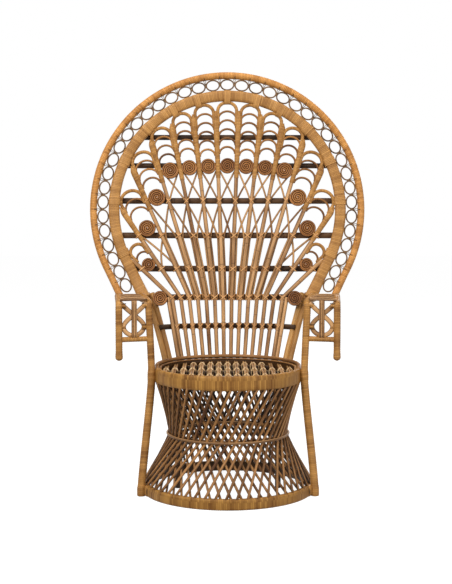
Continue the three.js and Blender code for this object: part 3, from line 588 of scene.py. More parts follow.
class Nodes:
    """Adds nodes to a tree, with their inputs given as values or as sockets to link."""

    def __init__(self, tree):
        self.tree = tree

    def add(self, kind, inputs=None, **settings):
        """A new node with its settings and inputs."""
        node = self.tree.nodes.new(kind)
        for name, value in settings.items():
            setattr(node, name, value)
        for key, value in (inputs or {}).items():
            if isinstance(value, bpy.types.NodeSocket):
                self.tree.links.new(value, node.inputs[key])
            else:
                node.inputs[key].default_value = value
        return node

    def math(self, operation, first, second=0.0):
        """The result of a sum on one or two values."""
        return self.add("ShaderNodeMath", {0: first, 1: second}, operation=operation).outputs[0]

    def blend(self, first, second, share):
        """A share of the second value and the rest of the first, added."""
        first = self.math("MULTIPLY", first, 1 - share)
        return self.math("ADD", first, self.math("MULTIPLY", second, share))

    def span(self, value, low, high, to_low=0.0, to_high=1.0):
        """A value's place between two others, eased at both ends."""
        inputs = {"Value": value, "From Min": low, "From Max": high, "To Min": to_low, "To Max": to_high}
        return self.add("ShaderNodeMapRange", inputs, interpolation_type="SMOOTHSTEP").outputs[0]

    def noise(self, x, y, z, detail):
        """Smooth noise at a point."""
        point = self.add("ShaderNodeCombineXYZ", {0: x, 1: y, 2: z}).outputs[0]
        return self.add("ShaderNodeTexNoise", {"Vector": point, "Scale": 1.0, "Detail": detail}).outputs[0]

    def seen(self):
        """One where the camera looks, straight or by a reflection or through glass, and zero elsewhere."""
        path = self.add("ShaderNodeLightPath").outputs
        direct = self.math("MAXIMUM", path["Is Camera Ray"], path["Is Glossy Ray"])
        return self.math("MAXIMUM", direct, path["Is Transmission Ray"])


def bare_nodes(owner):
    """The emptied node tree of a new material or world."""
    owner.use_nodes = True
    owner.node_tree.nodes.clear()
    return Nodes(owner.node_tree)


def new_group(name, inputs, outputs):
    """An empty group of nodes with its named sockets, and what it is given."""
    tree = bpy.data.node_groups.new(name, "ShaderNodeTree")
    for way, sockets in (("INPUT", inputs), ("OUTPUT", outputs)):
        for socket in sockets:
            tree.interface.new_socket(socket, in_out=way, socket_type="NodeSocketFloat")
    nodes = Nodes(tree)
    return nodes, nodes.add("NodeGroupInput").outputs


# Cane fibres: changes of tone for each metre along and each turn around, the slow drift along a cane,
# how far apart two canes' patterns lie, and the spacing and half width of the growth joints. A cane's
# tone is made of fibres and drift, in the range that noise keeps to, and of its own shade.
FIBRE_ALONG = 14.0
FIBRE_AROUND = 9.0
DRIFT_ALONG = 5.0
DRIFT_LEVEL = 3.0
CANE_SHIFT = 41.0
JOINT_SPACING = 0.21
JOINT_HALF = 0.012
NOISE_RANGE = (0.3, 0.7)
DRIFT_SHARE = 0.45
SHADE_SHARE = 0.38


def fibre_group():
    """Long fibres, slow changes of tone along a cane, and the dark rings of its growth joints."""
    if "Cane fibre" in bpy.data.node_groups:
        return bpy.data.node_groups["Cane fibre"]
    nodes, given = new_group("Cane fibre", ["Along", "Around", "Shade"], ["Tone", "Joint", "Height"])
    shift = nodes.math("MULTIPLY", given["Shade"], CANE_SHIFT)
    along = nodes.math("MULTIPLY", given["Along"], FIBRE_ALONG)
    around = nodes.math("MULTIPLY", given["Around"], FIBRE_AROUND)
    fibres = nodes.noise(along, around, shift, detail=4.0)
    slow = nodes.math("MULTIPLY", given["Along"], DRIFT_ALONG)
    drift = nodes.noise(slow, shift, DRIFT_LEVEL, detail=2.0)
    both = nodes.span(nodes.blend(fibres, drift, DRIFT_SHARE), *NOISE_RANGE, 0.0, 1 - SHADE_SHARE)
    tone = nodes.math("ADD", both, nodes.math("MULTIPLY", given["Shade"], SHADE_SHARE))
    steps = nodes.math("ADD", nodes.math("DIVIDE", given["Along"], JOINT_SPACING), shift)
    away = nodes.math("ABSOLUTE", nodes.math("SUBTRACT", nodes.math("FRACT", steps), 0.5))
    joint = nodes.span(away, JOINT_HALF, 0.0)
    nodes.add("NodeGroupOutput", {"Tone": tone, "Joint": joint, "Height": fibres})
    return nodes.tree


# Wound strips: the step of the slow change from strip to strip and its share of a strip's tone, where the
# painted shade in the gap between strips starts, counted from a strip's middle, and how flat its crown is.
PATCH_STEP = 0.12
PATCH_SHARE = 0.4
GAP_SHADE_START = 0.36
CROWN_POWER = 4.0


def strip_group():
    """Strips wound side by side: a tone for each, painted shade in the gap between them and a rounded
    height.
    """
    if "Wound strip" in bpy.data.node_groups:
        return bpy.data.node_groups["Wound strip"]
    nodes, given = new_group("Wound strip", ["Along", "Around", "Width"], ["Tone", "Gap shade", "Height"])
    turns = nodes.math("DIVIDE", given["Along"], given["Width"])
    phase = nodes.math("ADD", turns, given["Around"])
    number = nodes.math("FLOOR", phase)
    each = nodes.add("ShaderNodeTexWhiteNoise", {"W": number}, noise_dimensions="1D").outputs["Value"]
    step = nodes.math("MULTIPLY", number, PATCH_STEP)
    slow = nodes.add("ShaderNodeTexNoise", {"W": step, "Scale": 1.0}, noise_dimensions="1D").outputs[0]
    tone = nodes.blend(each, nodes.span(slow, *NOISE_RANGE), PATCH_SHARE)
    away = nodes.math("ABSOLUTE", nodes.math("SUBTRACT", nodes.math("FRACT", phase), 0.5))
    # Painted shade, darkest at a strip's edge.
    gap_shade = nodes.span(away, GAP_SHADE_START, 0.5)
    fall = nodes.math("POWER", nodes.math("MULTIPLY", away, 2.0), CROWN_POWER)
    height = nodes.math("SUBTRACT", 1.0, fall)
    nodes.add("NodeGroupOutput", {"Tone": tone, "Gap shade": gap_shade, "Height": height})
    return nodes.tree


# The satin surface that all finishes share: a strip's share of the tone and the fibres' height on it, the
# places of dark and light, how much rougher the dark and smoother the light is than the finish as such,
# bump and coat. Painted shade on the side toward the inside of the base is this deep, over this range
# of its turn's cosine.
STRIP_SHARE = 0.6
FIBRE_HEIGHT = 0.25
DARK_END = 0.12
LIGHT_END = 0.9
ROUGHER = 0.1
SMOOTHER = 0.06
BUMP_STRENGTH = 0.35
BUMP_DEPTH = 0.0008
SPECULAR = 0.2
COAT = 0.05
COAT_ROUGHNESS = 0.35
INSIDE_SHADE_DEPTH = 0.97
INSIDE_SHADE_RANGE = (0.1, 0.75)


def finish_of(
    name,
    dark,
    light,
    strip=0.0,
    roughness=0.5,
    joint_and_shade_depth=0.5,
    joint_and_shade_tone=0.3,
    side_shade=0.0,
    reach=0.6,
    inside=None,
):
    """A satin cane finish between two tones, wound with strips where a strip width is given.

    Dark joints of the cane and painted shade mix in the dark tone times the joint and shade tone, up to
    the joint and shade depth. Wound strips get painted shade in the gaps between them. Side shade is
    painted shade on the two sides of a tube that lies against its neighbours, and the less its reach,
    the further it comes up. Inside is the place round the section, from 0 to 1, that turns to the
    inside of the base and gets painted shade there.
    """
    if name in bpy.data.materials:
        return bpy.data.materials[name]
    material = bpy.data.materials.new(name)
    nodes = bare_nodes(material)
    lay = nodes.add("ShaderNodeUVMap", uv_map="lay")
    along, around, _ = nodes.add("ShaderNodeSeparateXYZ", {0: lay.outputs[0]}).outputs
    shade = nodes.add("ShaderNodeAttribute", attribute_name="shade").outputs["Fac"]
    given = {"Along": along, "Around": around, "Shade": shade}
    fibre = nodes.add("ShaderNodeGroup", given, node_tree=fibre_group()).outputs
    tone, joints_and_shade, height = fibre["Tone"], fibre["Joint"], fibre["Height"]
    if strip:
        given = {"Along": along, "Around": around, "Width": strip}
        wrap = nodes.add("ShaderNodeGroup", given, node_tree=strip_group()).outputs
        tone = nodes.blend(tone, wrap["Tone"], STRIP_SHARE)
        joints_and_shade = wrap["Gap shade"]
        height = nodes.math("ADD", wrap["Height"], nodes.math("MULTIPLY", height, FIBRE_HEIGHT))
    # Painted shade on the two sides of a tube, where it lies against its neighbours.
    if side_shade:
        side = nodes.math("COSINE", nodes.math("MULTIPLY", around, 4 * np.pi))
        joints_and_shade = nodes.math("MAXIMUM", joints_and_shade, nodes.span(side, -1.0, reach, 0.0, side_shade))
    # Painted shade on the side of the section that turns to the inside of the base.
    if inside is not None:
        turned = nodes.math("MULTIPLY", nodes.math("SUBTRACT", around, inside), 2 * np.pi)
        depth = INSIDE_SHADE_DEPTH / joint_and_shade_depth
        inner = nodes.span(nodes.math("COSINE", turned), *INSIDE_SHADE_RANGE, 0.0, depth)
        joints_and_shade = nodes.math("MAXIMUM", joints_and_shade, inner)
    ramp = nodes.add("ShaderNodeValToRGB", {0: tone})
    middle = [(a + b) / 2 for a, b in zip(dark, light)]
    first, last = ramp.color_ramp.elements
    first.position = DARK_END
    first.color = (*dark, 1)
    last.position = LIGHT_END
    last.color = (*light, 1)
    ramp.color_ramp.elements.new(0.5).color = (*middle, 1)
    # Dark joints and painted shade both take the dark tone times the joint and shade tone.
    mixed = {
        "Factor": nodes.math("MULTIPLY", joints_and_shade, joint_and_shade_depth),
        "A": ramp.outputs[0],
        "B": (*[value * joint_and_shade_tone for value in dark], 1),
    }
    bump = {"Height": height, "Strength": BUMP_STRENGTH, "Distance": BUMP_DEPTH}
    surface = {
        "Base Color": nodes.add("ShaderNodeMix", mixed, data_type="RGBA").outputs["Result"],
        "Roughness": nodes.span(tone, 0.0, 1.0, roughness + ROUGHER, roughness - SMOOTHER),
        "Normal": nodes.add("ShaderNodeBump", bump).outputs[0],
        "Specular IOR Level": SPECULAR,
        "Coat Weight": COAT,
        "Coat Roughness": COAT_ROUGHNESS,
    }
    shader = nodes.add("ShaderNodeBsdfPrincipled", surface)
    nodes.add("ShaderNodeOutputMaterial", {"Surface": shader.outputs[0]})
    return material


def finishes(context):
    """The chair's finishes by name, from the scene's colours."""
    c = context.scene.peacock_colours
    strip = context.scene.peacock_sizes.strip
    # Painted shade: side shade darkens the two sides of slats and thin canes, crossing canes, ribs,
    # lattice canes, rings and back poles where they lie against their neighbours, and the gaps between a
    # coil's turns.
    crown = {"side_shade": 0.4}
    cross = {"joint_and_shade_depth": 0.6, "side_shade": 0.8, "reach": 0.9}
    rib = {"joint_and_shade_depth": 0.7, "side_shade": 0.9, "reach": 0.9}
    coil = {"joint_and_shade_depth": 0.95, "side_shade": 1.0, "reach": -0.1}
    # Painted shade over nearly all of the seat cross bars' front and back faces, so the holes between the
    # slats read dark.
    crossbar = {"joint_and_shade_depth": 0.95, "side_shade": 1.0, "reach": -0.4}
    # Lattice canes also get nearly black painted shade on the side that turns to the inside of the base.
    lattice = {"side_shade": 0.5, "inside": 0.75, "joint_and_shade_tone": 0.08}
    return {
        "strip": finish_of("Wound peel strip", c.strip_dark, c.strip_light, strip),
        # The bands get painted shade on their inner face.
        "band": finish_of("Wound band strip", c.band_dark, c.band_light, strip, inside=0.5),
        "hoop": finish_of("Wound hoop strip", c.hoop_dark, c.hoop_light, strip, joint_and_shade_depth=0.6),
        "leg": finish_of("Wound leg strip", c.leg_dark, c.leg_light, strip),
        "rib": finish_of("Peeled rib cane", c.rib_dark, c.rib_light, **rib),
        "slat": finish_of("Slat cane", c.slat_dark, c.slat_light, **crown),
        "bent": finish_of("Bent thin cane", c.bent_dark, c.bent_light, **crown),
        "cross": finish_of("Crossing cane", c.cross_dark, c.cross_light, **cross),
        "lattice": finish_of("Lattice cane", c.lattice_dark, c.lattice_light, **lattice),
        "ring": finish_of("Ring cane", c.ring_dark, c.ring_light, side_shade=0.5),
        "coil": finish_of("Coiled cane", c.coil_dark, c.coil_light, **coil),
        "bark": finish_of("Back pole bark", c.bark_dark, c.bark_light, side_shade=0.6),
        "pole": finish_of("Dark bar", c.pole_dark, c.pole_light, roughness=0.6, joint_and_shade_depth=0.8),
        "crossbar": finish_of("Slat bar", c.bent_dark, c.slat_light, strip, **crossbar),
        "tie": finish_of("Slat lashing", c.tie_dark, c.tie_light, roughness=0.45),
        "lash": finish_of("Lashing strip", c.lash_dark, c.lash_light, roughness=0.45),
    }


def chair(context):
    """The chair's plan and finishes, from the scene's sizes and colours."""
    return Plan(context.scene.peacock_sizes), finishes(context)


def wound_band(radius, bottom, height, thickness, strip):
    """A closed band wound with upright strips: a rounded oblong carried round the seat's axis."""
    canes = Canes(seed=3)
    count = int(2 * np.pi * radius / strip) * WINDING_STEPS
    path = round_seat(radius - thickness / 2, full_turn(count), bottom + height / 2)
    section = outline(thickness / 2, height / 2, sides=26, power=4.5)
    canes.add(path, UP, section, bulged(count, BAND_BULGE), closed=True)
    return canes


def hoop_stretch(plan, radius, start, end, depth):
    """A stretch of a hoop with four points to each wound strip, and the strips' swell."""
    count = int(np.ceil((end - start) * WINDING_STEPS / plan.sizes.strip))
    return plan.on_hoop(radius, np.linspace(start, end, count + 1)), bulged(count + 1, depth)


class ChairPiece:
    """What the operators of the chair's pieces share: they can be undone."""

    bl_options = {"REGISTER", "UNDO"}


class PEACOCK_OT_base_ring(ChairPiece, bpy.types.Operator):
    """Builds the wound base ring"""

    bl_idname = "peacock.base_ring"
    bl_label = "Base ring"

    def execute(self, context):
        plan, finish = chair(context)
        s = plan.sizes
        ring = wound_band(s.base_radius, 0.0, s.base_band, s.band_thickness, s.strip)
        ring.make("base_ring_winding", finish["band"], "wrapped_cane", "base_ring")
        return {"FINISHED"}


class PEACOCK_OT_lattice(ChairPiece, bpy.types.Operator):
    """Builds the two lattices of leaning canes and the cane rings at their waist"""

    bl_idname = "peacock.lattice"
    bl_label = "Lattice"

    # Canes each way, half a cane's turn from foot to head, how far each way stands off the middle, how
    # far its ends run into the bands, its inset at the waist and its width as a share of its depth.
    STICKS = 52
    TWIST = np.radians(22.5)
    LAYER = 0.005
    TUCK = 0.004
    INSET = 0.0092
    BROAD = 1.22
    # Each waist ring's distance from the waist's outside, and its cane's radius.
    WAIST_RINGS = ((0.0035, 0.0042), (-0.0235, 0.004))

    def execute(self, context):
        plan, finish = chair(context)
        for turn, lean, seed in ((1, "right", 11), (-1, "left", 12)):
            canes = self.leaning(plan, turn, seed)
            # The lattice finish paints shade on each cane's sides and, nearly black, on its side toward
            # the inside of the base.
            canes.make(f"lattice_{lean}_canes", finish["lattice"], "peeled_cane", f"lattice_{lean}_lean")
        self.waist(plan).make("waist_rings", finish["rib"], "peeled_cane")
        return {"FINISHED"}

    def leaning(self, plan, turn, seed):
        """Straight canes from the base ring to the waist and on to the seat band, all leaning one way."""
        s = plan.sizes
        layer = self.LAYER * turn
        wall = s.band_thickness / 2
        middle = full_turn(self.STICKS)
        foot_angle, head_angle = middle - self.TWIST * turn, middle + self.TWIST * turn
        foot = round_seat(s.base_radius - wall + layer, foot_angle, s.base_band - self.TUCK)
        head = round_seat(s.seat_radius - wall + layer, head_angle, s.seat_top - s.seat_band + self.TUCK)
        waist = round_seat(s.waist_radius - self.INSET + layer, middle, s.waist_height)
        share = np.linspace(0, 1, 9)[None, :, None]
        lower = foot[:, None] + (waist - foot)[:, None] * share
        upper = waist[:, None] + (head - waist)[:, None] * share
        paths = np.concatenate([lower, upper[:, 1:]], 1)
        outward = round_seat(1.0, middle, 0.0)[:, None]
        canes = Canes(seed)
        canes.add(paths, outward, outline(self.BROAD * s.stick_radius, s.stick_radius, sides=8))
        return canes

    def waist(self, plan):
        """A cane ring outside the lattice's waist and one inside it."""
        s = plan.sizes
        canes = Canes(seed=13)
        for off, cane in self.WAIST_RINGS:
            path = round_seat(s.waist_radius + off, full_turn(120), s.waist_height)
            canes.add(path, UP, round_outline(cane), closed=True)
        return canes


class PEACOCK_OT_leg_feet(ChairPiece, bpy.types.Operator):
    """Builds a wound wrap on the base ring beside each leg, and a knot of two dark turns on it"""

    bl_idname = "peacock.leg_feet"
    bl_label = "Leg feet"

    # Angles from the leg's own at which the wrap runs, how far it stands out and proud of the ring,
    # and the places of the knot's turns, their distance from the ring and their cane's radius.
    WRAP_ANGLES = np.linspace(-0.085, 0.06, 24)
    WRAP_OUT = 0.002
    WRAP_PROUD = 0.003
    KNOT_ANGLES = (-0.098, -0.088)
    KNOT_OFF = 0.0012
    KNOT_CANE = 0.0011

    def execute(self, context):
        plan, finish = chair(context)
        s = plan.sizes
        wall, half = s.band_thickness / 2, s.base_band / 2
        middle = s.base_radius - wall
        leg = np.arcsin(plan.tangent_x(s.base_radius, LEG_FOOT_Y) / (s.base_radius + s.leg_radius))
        section = outline(wall + self.WRAP_PROUD, half, sides=16, power=3.5)
        turn = full_turn(20)
        reach = middle + (wall + self.KNOT_OFF) * np.cos(turn)
        height = half + (half - self.KNOT_OFF) * np.sin(turn)
        wraps = Canes(seed=18)
        dark_canes = Canes(seed=19)
        for side in SIDES:
            path = round_seat(middle + self.WRAP_OUT, side * (leg + self.WRAP_ANGLES), half)
            wraps.wind(path, UP, section, s.strip, HOOP_BULGE)
            for angle in self.KNOT_ANGLES:
                path = round_seat(reach, side * (leg + angle), height)
                dark_canes.add(path, RIGHT, round_outline(self.KNOT_CANE, sides=5), closed=True)
        wraps.make("leg_foot_wraps", finish["leg"], "wrapped_cane")
        dark_canes.make("leg_foot_knots", finish["ring"], "bent_cane")
        return {"FINISHED"}


class PEACOCK_OT_inner_posts(ChairPiece, bpy.types.Operator):
    """Builds the dark posts inside the base"""

    bl_idname = "peacock.inner_posts"
    bl_label = "Inner posts"

    RADIUS = 0.010

    def execute(self, context):
        _, finish = chair(context)
        for side, word in SIDES.items():
            low, high = box_of(f"inner_post_{word}")
            x, y, _ = (low + high) / 2
            path = np.linspace([x, y - AXIS_Y, low[2]], [x, y - AXIS_Y, high[2]], 12)
            canes = Canes(seed=15 + side)
            canes.add(path, RIGHT, round_outline(self.RADIUS, sides=14))
            canes.make(f"inner_post_{word}_pole", finish["pole"], "dark_pole", f"inner_post_{word}")
        return {"FINISHED"}


class PEACOCK_OT_seat_band(ChairPiece, bpy.types.Operator):
    """Builds the wound seat band, whose rim stands a little over the slats"""

    bl_idname = "peacock.seat_band"
    bl_label = "Seat band"

    RIM = 0.005

    def execute(self, context):
        plan, finish = chair(context)
        s = plan.sizes
        height = s.seat_band + self.RIM
        band = wound_band(s.seat_radius, s.seat_top - s.seat_band, height, s.band_thickness, s.strip)
        band.make("seat_band_winding", finish["band"], "wrapped_cane", "seat_band")
        return {"FINISHED"}


class PEACOCK_OT_seat_slats(ChairPiece, bpy.types.Operator):
    """Builds pairs of canes from front to back on wound cross bars, lashed at each crossing"""

    bl_idname = "peacock.seat_slats"
    bl_label = "Seat slats"

    # The pairs' places across, each cane's distance from its pair's middle, how far it runs into the
    # band, and how far the slats' top lies below the band's top and their middle below that.
    PLACES = np.arange(-7, 8) * 0.030
    PAIR = (-0.0036, 0.0036)
    TUCK = 0.002
    DROP = 0.003
    SINK = 0.0042
    SECTION = outline(across=0.0036, deep=0.0041, sides=8)
    # The cross bars' depths and how far they lie below the slats' top.
    BAR_DEPTHS = (-0.130, 0.018, 0.163)
    BAR_SINK = 0.0175
    BAR_SECTION = outline(across=0.0065, deep=0.0095, sides=10)
    # A crossed lashing's reach, its rise over the slats and its fall at the ends, with the room that it
    # needs inside the band, and the loops of strip round the bar at its sides.
    LASH_REACH = 0.0105
    LASH_RISE = 0.0010
    LASH_FALL = 0.010
    LASH_ROOM = 0.012
    LASH_SECTION = outline(across=0.0026, deep=0.0010, sides=6)
    TIE_OFF = 0.0098
    TIE_HALF_DEPTH = 0.0078
    TIE_HALF_HEIGHT = 0.0108
    TIE_SECTION = outline(across=0.0008, deep=0.0020, sides=4)

    def execute(self, context):
        plan, finish = chair(context)
        s = plan.sizes
        inside = s.seat_radius - s.band_thickness + self.TUCK
        top = s.seat_top - self.DROP
        canes = Canes(seed=21)
        for x in (self.PLACES[:, None] + np.array(self.PAIR)).ravel():
            reach = np.sqrt(max(inside**2 - x**2, 0.0))
            path = np.linspace([x, -reach, top - self.SINK], [x, reach, top - self.SINK], 16)
            canes.add(path, UP, self.SECTION)
        bars = Canes(seed=24)
        lashes = Canes(seed=22)
        low = top - self.BAR_SINK
        for depth in self.BAR_DEPTHS:
            reach = np.sqrt(inside**2 - depth**2)
            path = np.array([[-reach, depth, low], [reach, depth, low]])
            bars.wind(path, UP, self.BAR_SECTION, s.strip, POLE_BULGE)
            near = self.PLACES[np.hypot(np.abs(self.PLACES) + self.LASH_ROOM, depth) < inside]
            for turn in (-1, 1):
                self.crossing(lashes, near, depth, top, turn)
                self.bar_ties(lashes, near + self.TIE_OFF * turn, depth, low)
        canes.make("seat_canes", finish["slat"], "peeled_cane", "seat_grid")
        # The slat bar finish paints shade on the cross bars' front and back faces.
        bars.make("seat_cross_bars", finish["crossbar"], "wrapped_cane")
        lashes.make("seat_lashings", finish["tie"], "peeled_cane")
        return {"FINISHED"}

    def crossing(self, lashes, places, depth, top, turn):
        """A strip laid aslant over each pair, that falls at its ends with the cube of its way."""
        t = np.linspace(-1, 1, 9)
        x = places[:, None] + self.LASH_REACH * turn * t
        y = depth + self.LASH_REACH * np.broadcast_to(t, x.shape)
        z = np.broadcast_to(top + self.LASH_RISE - self.LASH_FALL * np.abs(t) ** 3, x.shape)
        lashes.add(np.stack([x, y, z], -1), UP, self.LASH_SECTION)

    def bar_ties(self, lashes, places, depth, z):
        """A flat loop of strip round a cross bar at each place."""
        turn = full_turn(12)
        y, z = depth + self.TIE_HALF_DEPTH * np.cos(turn), z + self.TIE_HALF_HEIGHT * np.sin(turn)
        x, y, z = np.broadcast_arrays(places[:, None], y, z)
        lashes.add(np.stack([x, y, z], -1), RIGHT, self.TIE_SECTION, closed=True)


class PEACOCK_OT_seat_rail(ChairPiece, bpy.types.Operator):
    """Builds the rail round the back of the seat, of two canes whose ends dip into the band"""

    bl_idname = "peacock.seat_rail"
    bl_label = "Seat rail"

    # The rail's angles from the back, each cane's inset, lift and radius, the gap to the band's outside,
    # and the dip of the ends.
    ANGLES = np.radians(np.linspace(-101, 101, 60))
    CANES = ((0.0, 0.0055, 0.0066), (0.0125, -0.003, 0.0030))
    GAP = 0.0004
    DIP = 0.012
    DIP_START = 1.60
    DIP_RUN = 0.15

    def execute(self, context):
        plan, finish = chair(context)
        angle = self.ANGLES
        rail = Canes(seed=23)
        dip = self.DIP * np.clip((np.abs(angle) - self.DIP_START) / self.DIP_RUN, 0, 1)
        for inset, lift, cane in self.CANES:
            radius = plan.sizes.seat_radius - RAIL_RADIUS - self.GAP - inset
            z = plan.rail_height + lift * np.cos(angle / 2) - dip
            path = np.stack([radius * np.sin(angle), radius * np.cos(angle), z], -1)
            rail.add(path, UP, round_outline(cane, sides=10))
        # The lattice finish paints shade on the underside and the sides of the rail's canes.
        rail.make("seat_back_rail_canes", finish["lattice"], "wrapped_cane", "seat_back_rail")
        return {"FINISHED"}


class PEACOCK_OT_outer_hoop(ChairPiece, bpy.types.Operator):
    """Builds the wound outer hoop"""

    bl_idname = "peacock.outer_hoop"
    bl_label = "Outer hoop"

    def execute(self, context):
        plan, finish = chair(context)
        end = plan.outer_end + HOOP_SINK
        path, swell = hoop_stretch(plan, plan.outer_radius, -end, end, HOOP_BULGE)
        canes = Canes(seed=31)
        canes.add(path, BACK, round_outline(plan.sizes.outer_pole, sides=14), swell)
        canes.make("outer_hoop_winding", finish["strip"], "wrapped_cane", "outer_hoop")
        return {"FINISHED"}


class PEACOCK_OT_inner_hoop(ChairPiece, bpy.types.Operator):
    """Builds the wound inner hoop and its wider places, where the top arches are bound to it"""

    bl_idname = "peacock.inner_hoop"
    bl_label = "Inner hoop"

    # The hoop widens by this share toward its ends, over a run that stops below the arm's top.
    FLARE = 0.16
    FLARE_DROP = 0.02
    FLARE_RUN = 0.11
    # The wider places' turns from the top. The first ones reach further in and are shorter than the rest,
    # as the pairs of inward reach and half length say.
    NECK_TURNS = np.radians([0, 15.5, 28.5, 45, 65, 86, 113])
    TOP_NECKS = 3
    TOP_NECK = (0.0062, 0.0115)
    SIDE_NECK = (0.0022, 0.0135)
    NECK_PROUD = 0.001
    NECK_OUT = 0.0008

    def execute(self, context):
        plan, finish = chair(context)
        s = plan.sizes
        end = plan.inner_end + 2 * HOOP_SINK
        path, swell = hoop_stretch(plan, s.hoop_radius, -end, end, FLAT_BULGE)
        rise = np.clip((path[:, 2] - plan.arm_top + self.FLARE_DROP) / self.FLARE_RUN, 0, 1)
        swell = swell * (1 + self.FLARE * (1 - rise) ** 2)
        canes = Canes(seed=32)
        canes.add(path, BACK, outline(s.hoop_width / 2, s.hoop_depth / 2, sides=20, power=3.0), swell)
        canes.make("inner_hoop_winding", finish["hoop"], "wrapped_cane", "inner_hoop")
        self.necks(plan).make("inner_hoop_necks", finish["hoop"], "wrapped_cane")
        return {"FINISHED"}

    def necks(self, plan):
        """Short wider stretches of the hoop, laid a little further in."""
        s = plan.sizes
        canes = Canes(seed=35)
        for n, turn in enumerate(self.NECK_TURNS):
            inward, half = self.TOP_NECK if n < self.TOP_NECKS else self.SIDE_NECK
            across = s.hoop_width / 2 + inward
            section = outline(across, s.hoop_depth / 2 + self.NECK_PROUD, sides=20, power=3.4)
            radius = s.hoop_radius - inward + self.NECK_OUT
            for side in SIDES if n else (1,):
                middle = side * turn * s.hoop_radius
                path, swell = hoop_stretch(plan, radius, middle - half, middle + half, FLAT_BULGE)
                canes.add(path, BACK, section, swell)
        return canes


class PEACOCK_OT_ring_row(ChairPiece, bpy.types.Operator):
    """Builds the row of cane rings between the hoops, with their knots and ties"""

    bl_idname = "peacock.ring_row"
    bl_label = "Ring row"

    # Rings, the end gap as a share of the row's width, how far a ring laps the hoops, and its cane's
    # width as a share of its depth.
    COUNT = 39
    END_SHARE = 0.75
    LAP = 0.0006
    BROAD = 1.18
    # A knot's half length and how much thinner its ends are. A thin cane runs from it to the outer hoop
    # on each side: where it starts and how far it goes as shares of half the row, its lean and layer.
    KNOT_HALF = 0.0048
    KNOT_TAPER = 0.45
    KNOT_SECTION = outline(across=0.0044, deep=0.0036, sides=8)
    TIE_START = 0.2
    TIE_REACH = 0.42
    TIE_LEAN = 0.0022
    TIE_LAYER = -0.002
    TIE_CANE = 0.0012
    # A turn on the outer hoop beside each knot: its angles round the pole, its lap and its cane.
    TURN_ANGLES = np.radians(np.linspace(-75, 75, 9))
    TURN_LAP = 0.0006
    TURN_CANE = 0.0013
    TURN_FACING = BACK + 0.3 * UP

    def execute(self, context):
        plan, finish = chair(context)
        s = plan.sizes
        radius = plan.rim_edge + s.ring_gap / 2
        end = plan.hoop_end(radius, radius, 0) - self.END_SHARE * s.ring_gap
        places = np.linspace(-end, end, self.COUNT)
        self.rings(plan, radius, places).make("ring_row_canes", finish["ring"], "bent_cane", "ring_row")
        self.ties(plan, radius, places).make("ring_ties", finish["ring"], "bent_cane")
        return {"FINISHED"}

    def rings(self, plan, radius, places):
        """Oval rings side by side: across the row by a cosine, along it by a sine."""
        s = plan.sizes
        step = 2 * places[-1] / (self.COUNT - 1)
        turn = full_turn(24)
        reach = radius + (s.ring_gap / 2 - s.ring_cane + self.LAP) * np.cos(turn)
        way = places[:, None] + (step / 2 - s.ring_cane) * np.sin(turn)
        section = outline(self.BROAD * s.ring_cane, s.ring_cane, sides=6)
        canes = Canes(seed=33)
        canes.add(self.beside(plan, radius, reach, way), BACK, section, closed=True)
        return canes

    def ties(self, plan, radius, places):
        """A knot where two rings meet, two canes from it and a turn round the outer hoop."""
        s = plan.sizes
        canes = Canes(seed=34)
        meets = ((places[1:] + places[:-1]) / 2)[:, None]
        t = np.linspace(-1, 1, 7)
        knot = self.beside(plan, radius, radius + self.KNOT_HALF * t, meets)
        canes.add(knot, BACK, self.KNOT_SECTION, 1 - self.KNOT_TAPER * t**2)
        for lean in (-1, 1):
            reach = radius + s.ring_gap / 2 * (self.TIE_START + self.TIE_REACH * (1 + t))
            way = meets + lean * self.TIE_LEAN * (1 + t)
            path = self.beside(plan, radius, reach, way, self.TIE_LAYER)
            canes.add(path, BACK, round_outline(self.TIE_CANE, sides=5))
        around = s.outer_pole + self.TURN_LAP
        reach = plan.outer_radius - around * np.cos(self.TURN_ANGLES)
        path = self.beside(plan, radius, reach, meets, around * np.sin(self.TURN_ANGLES))
        canes.add(path, self.TURN_FACING, round_outline(self.TURN_CANE, sides=5))
        return canes

    def beside(self, plan, radius, reach, way, layer=0.0):
        """Points at a reach from the hoop's centre, square to the way along the ring row."""
        reach, way = np.broadcast_arrays(reach, way)
        run = np.maximum(0, np.abs(way) - radius * ROUND_HALF)
        bend = np.minimum(np.abs(way) / radius, ROUND_HALF)
        return plan.on_hoop(reach, np.sign(way) * (bend * reach + run), layer)


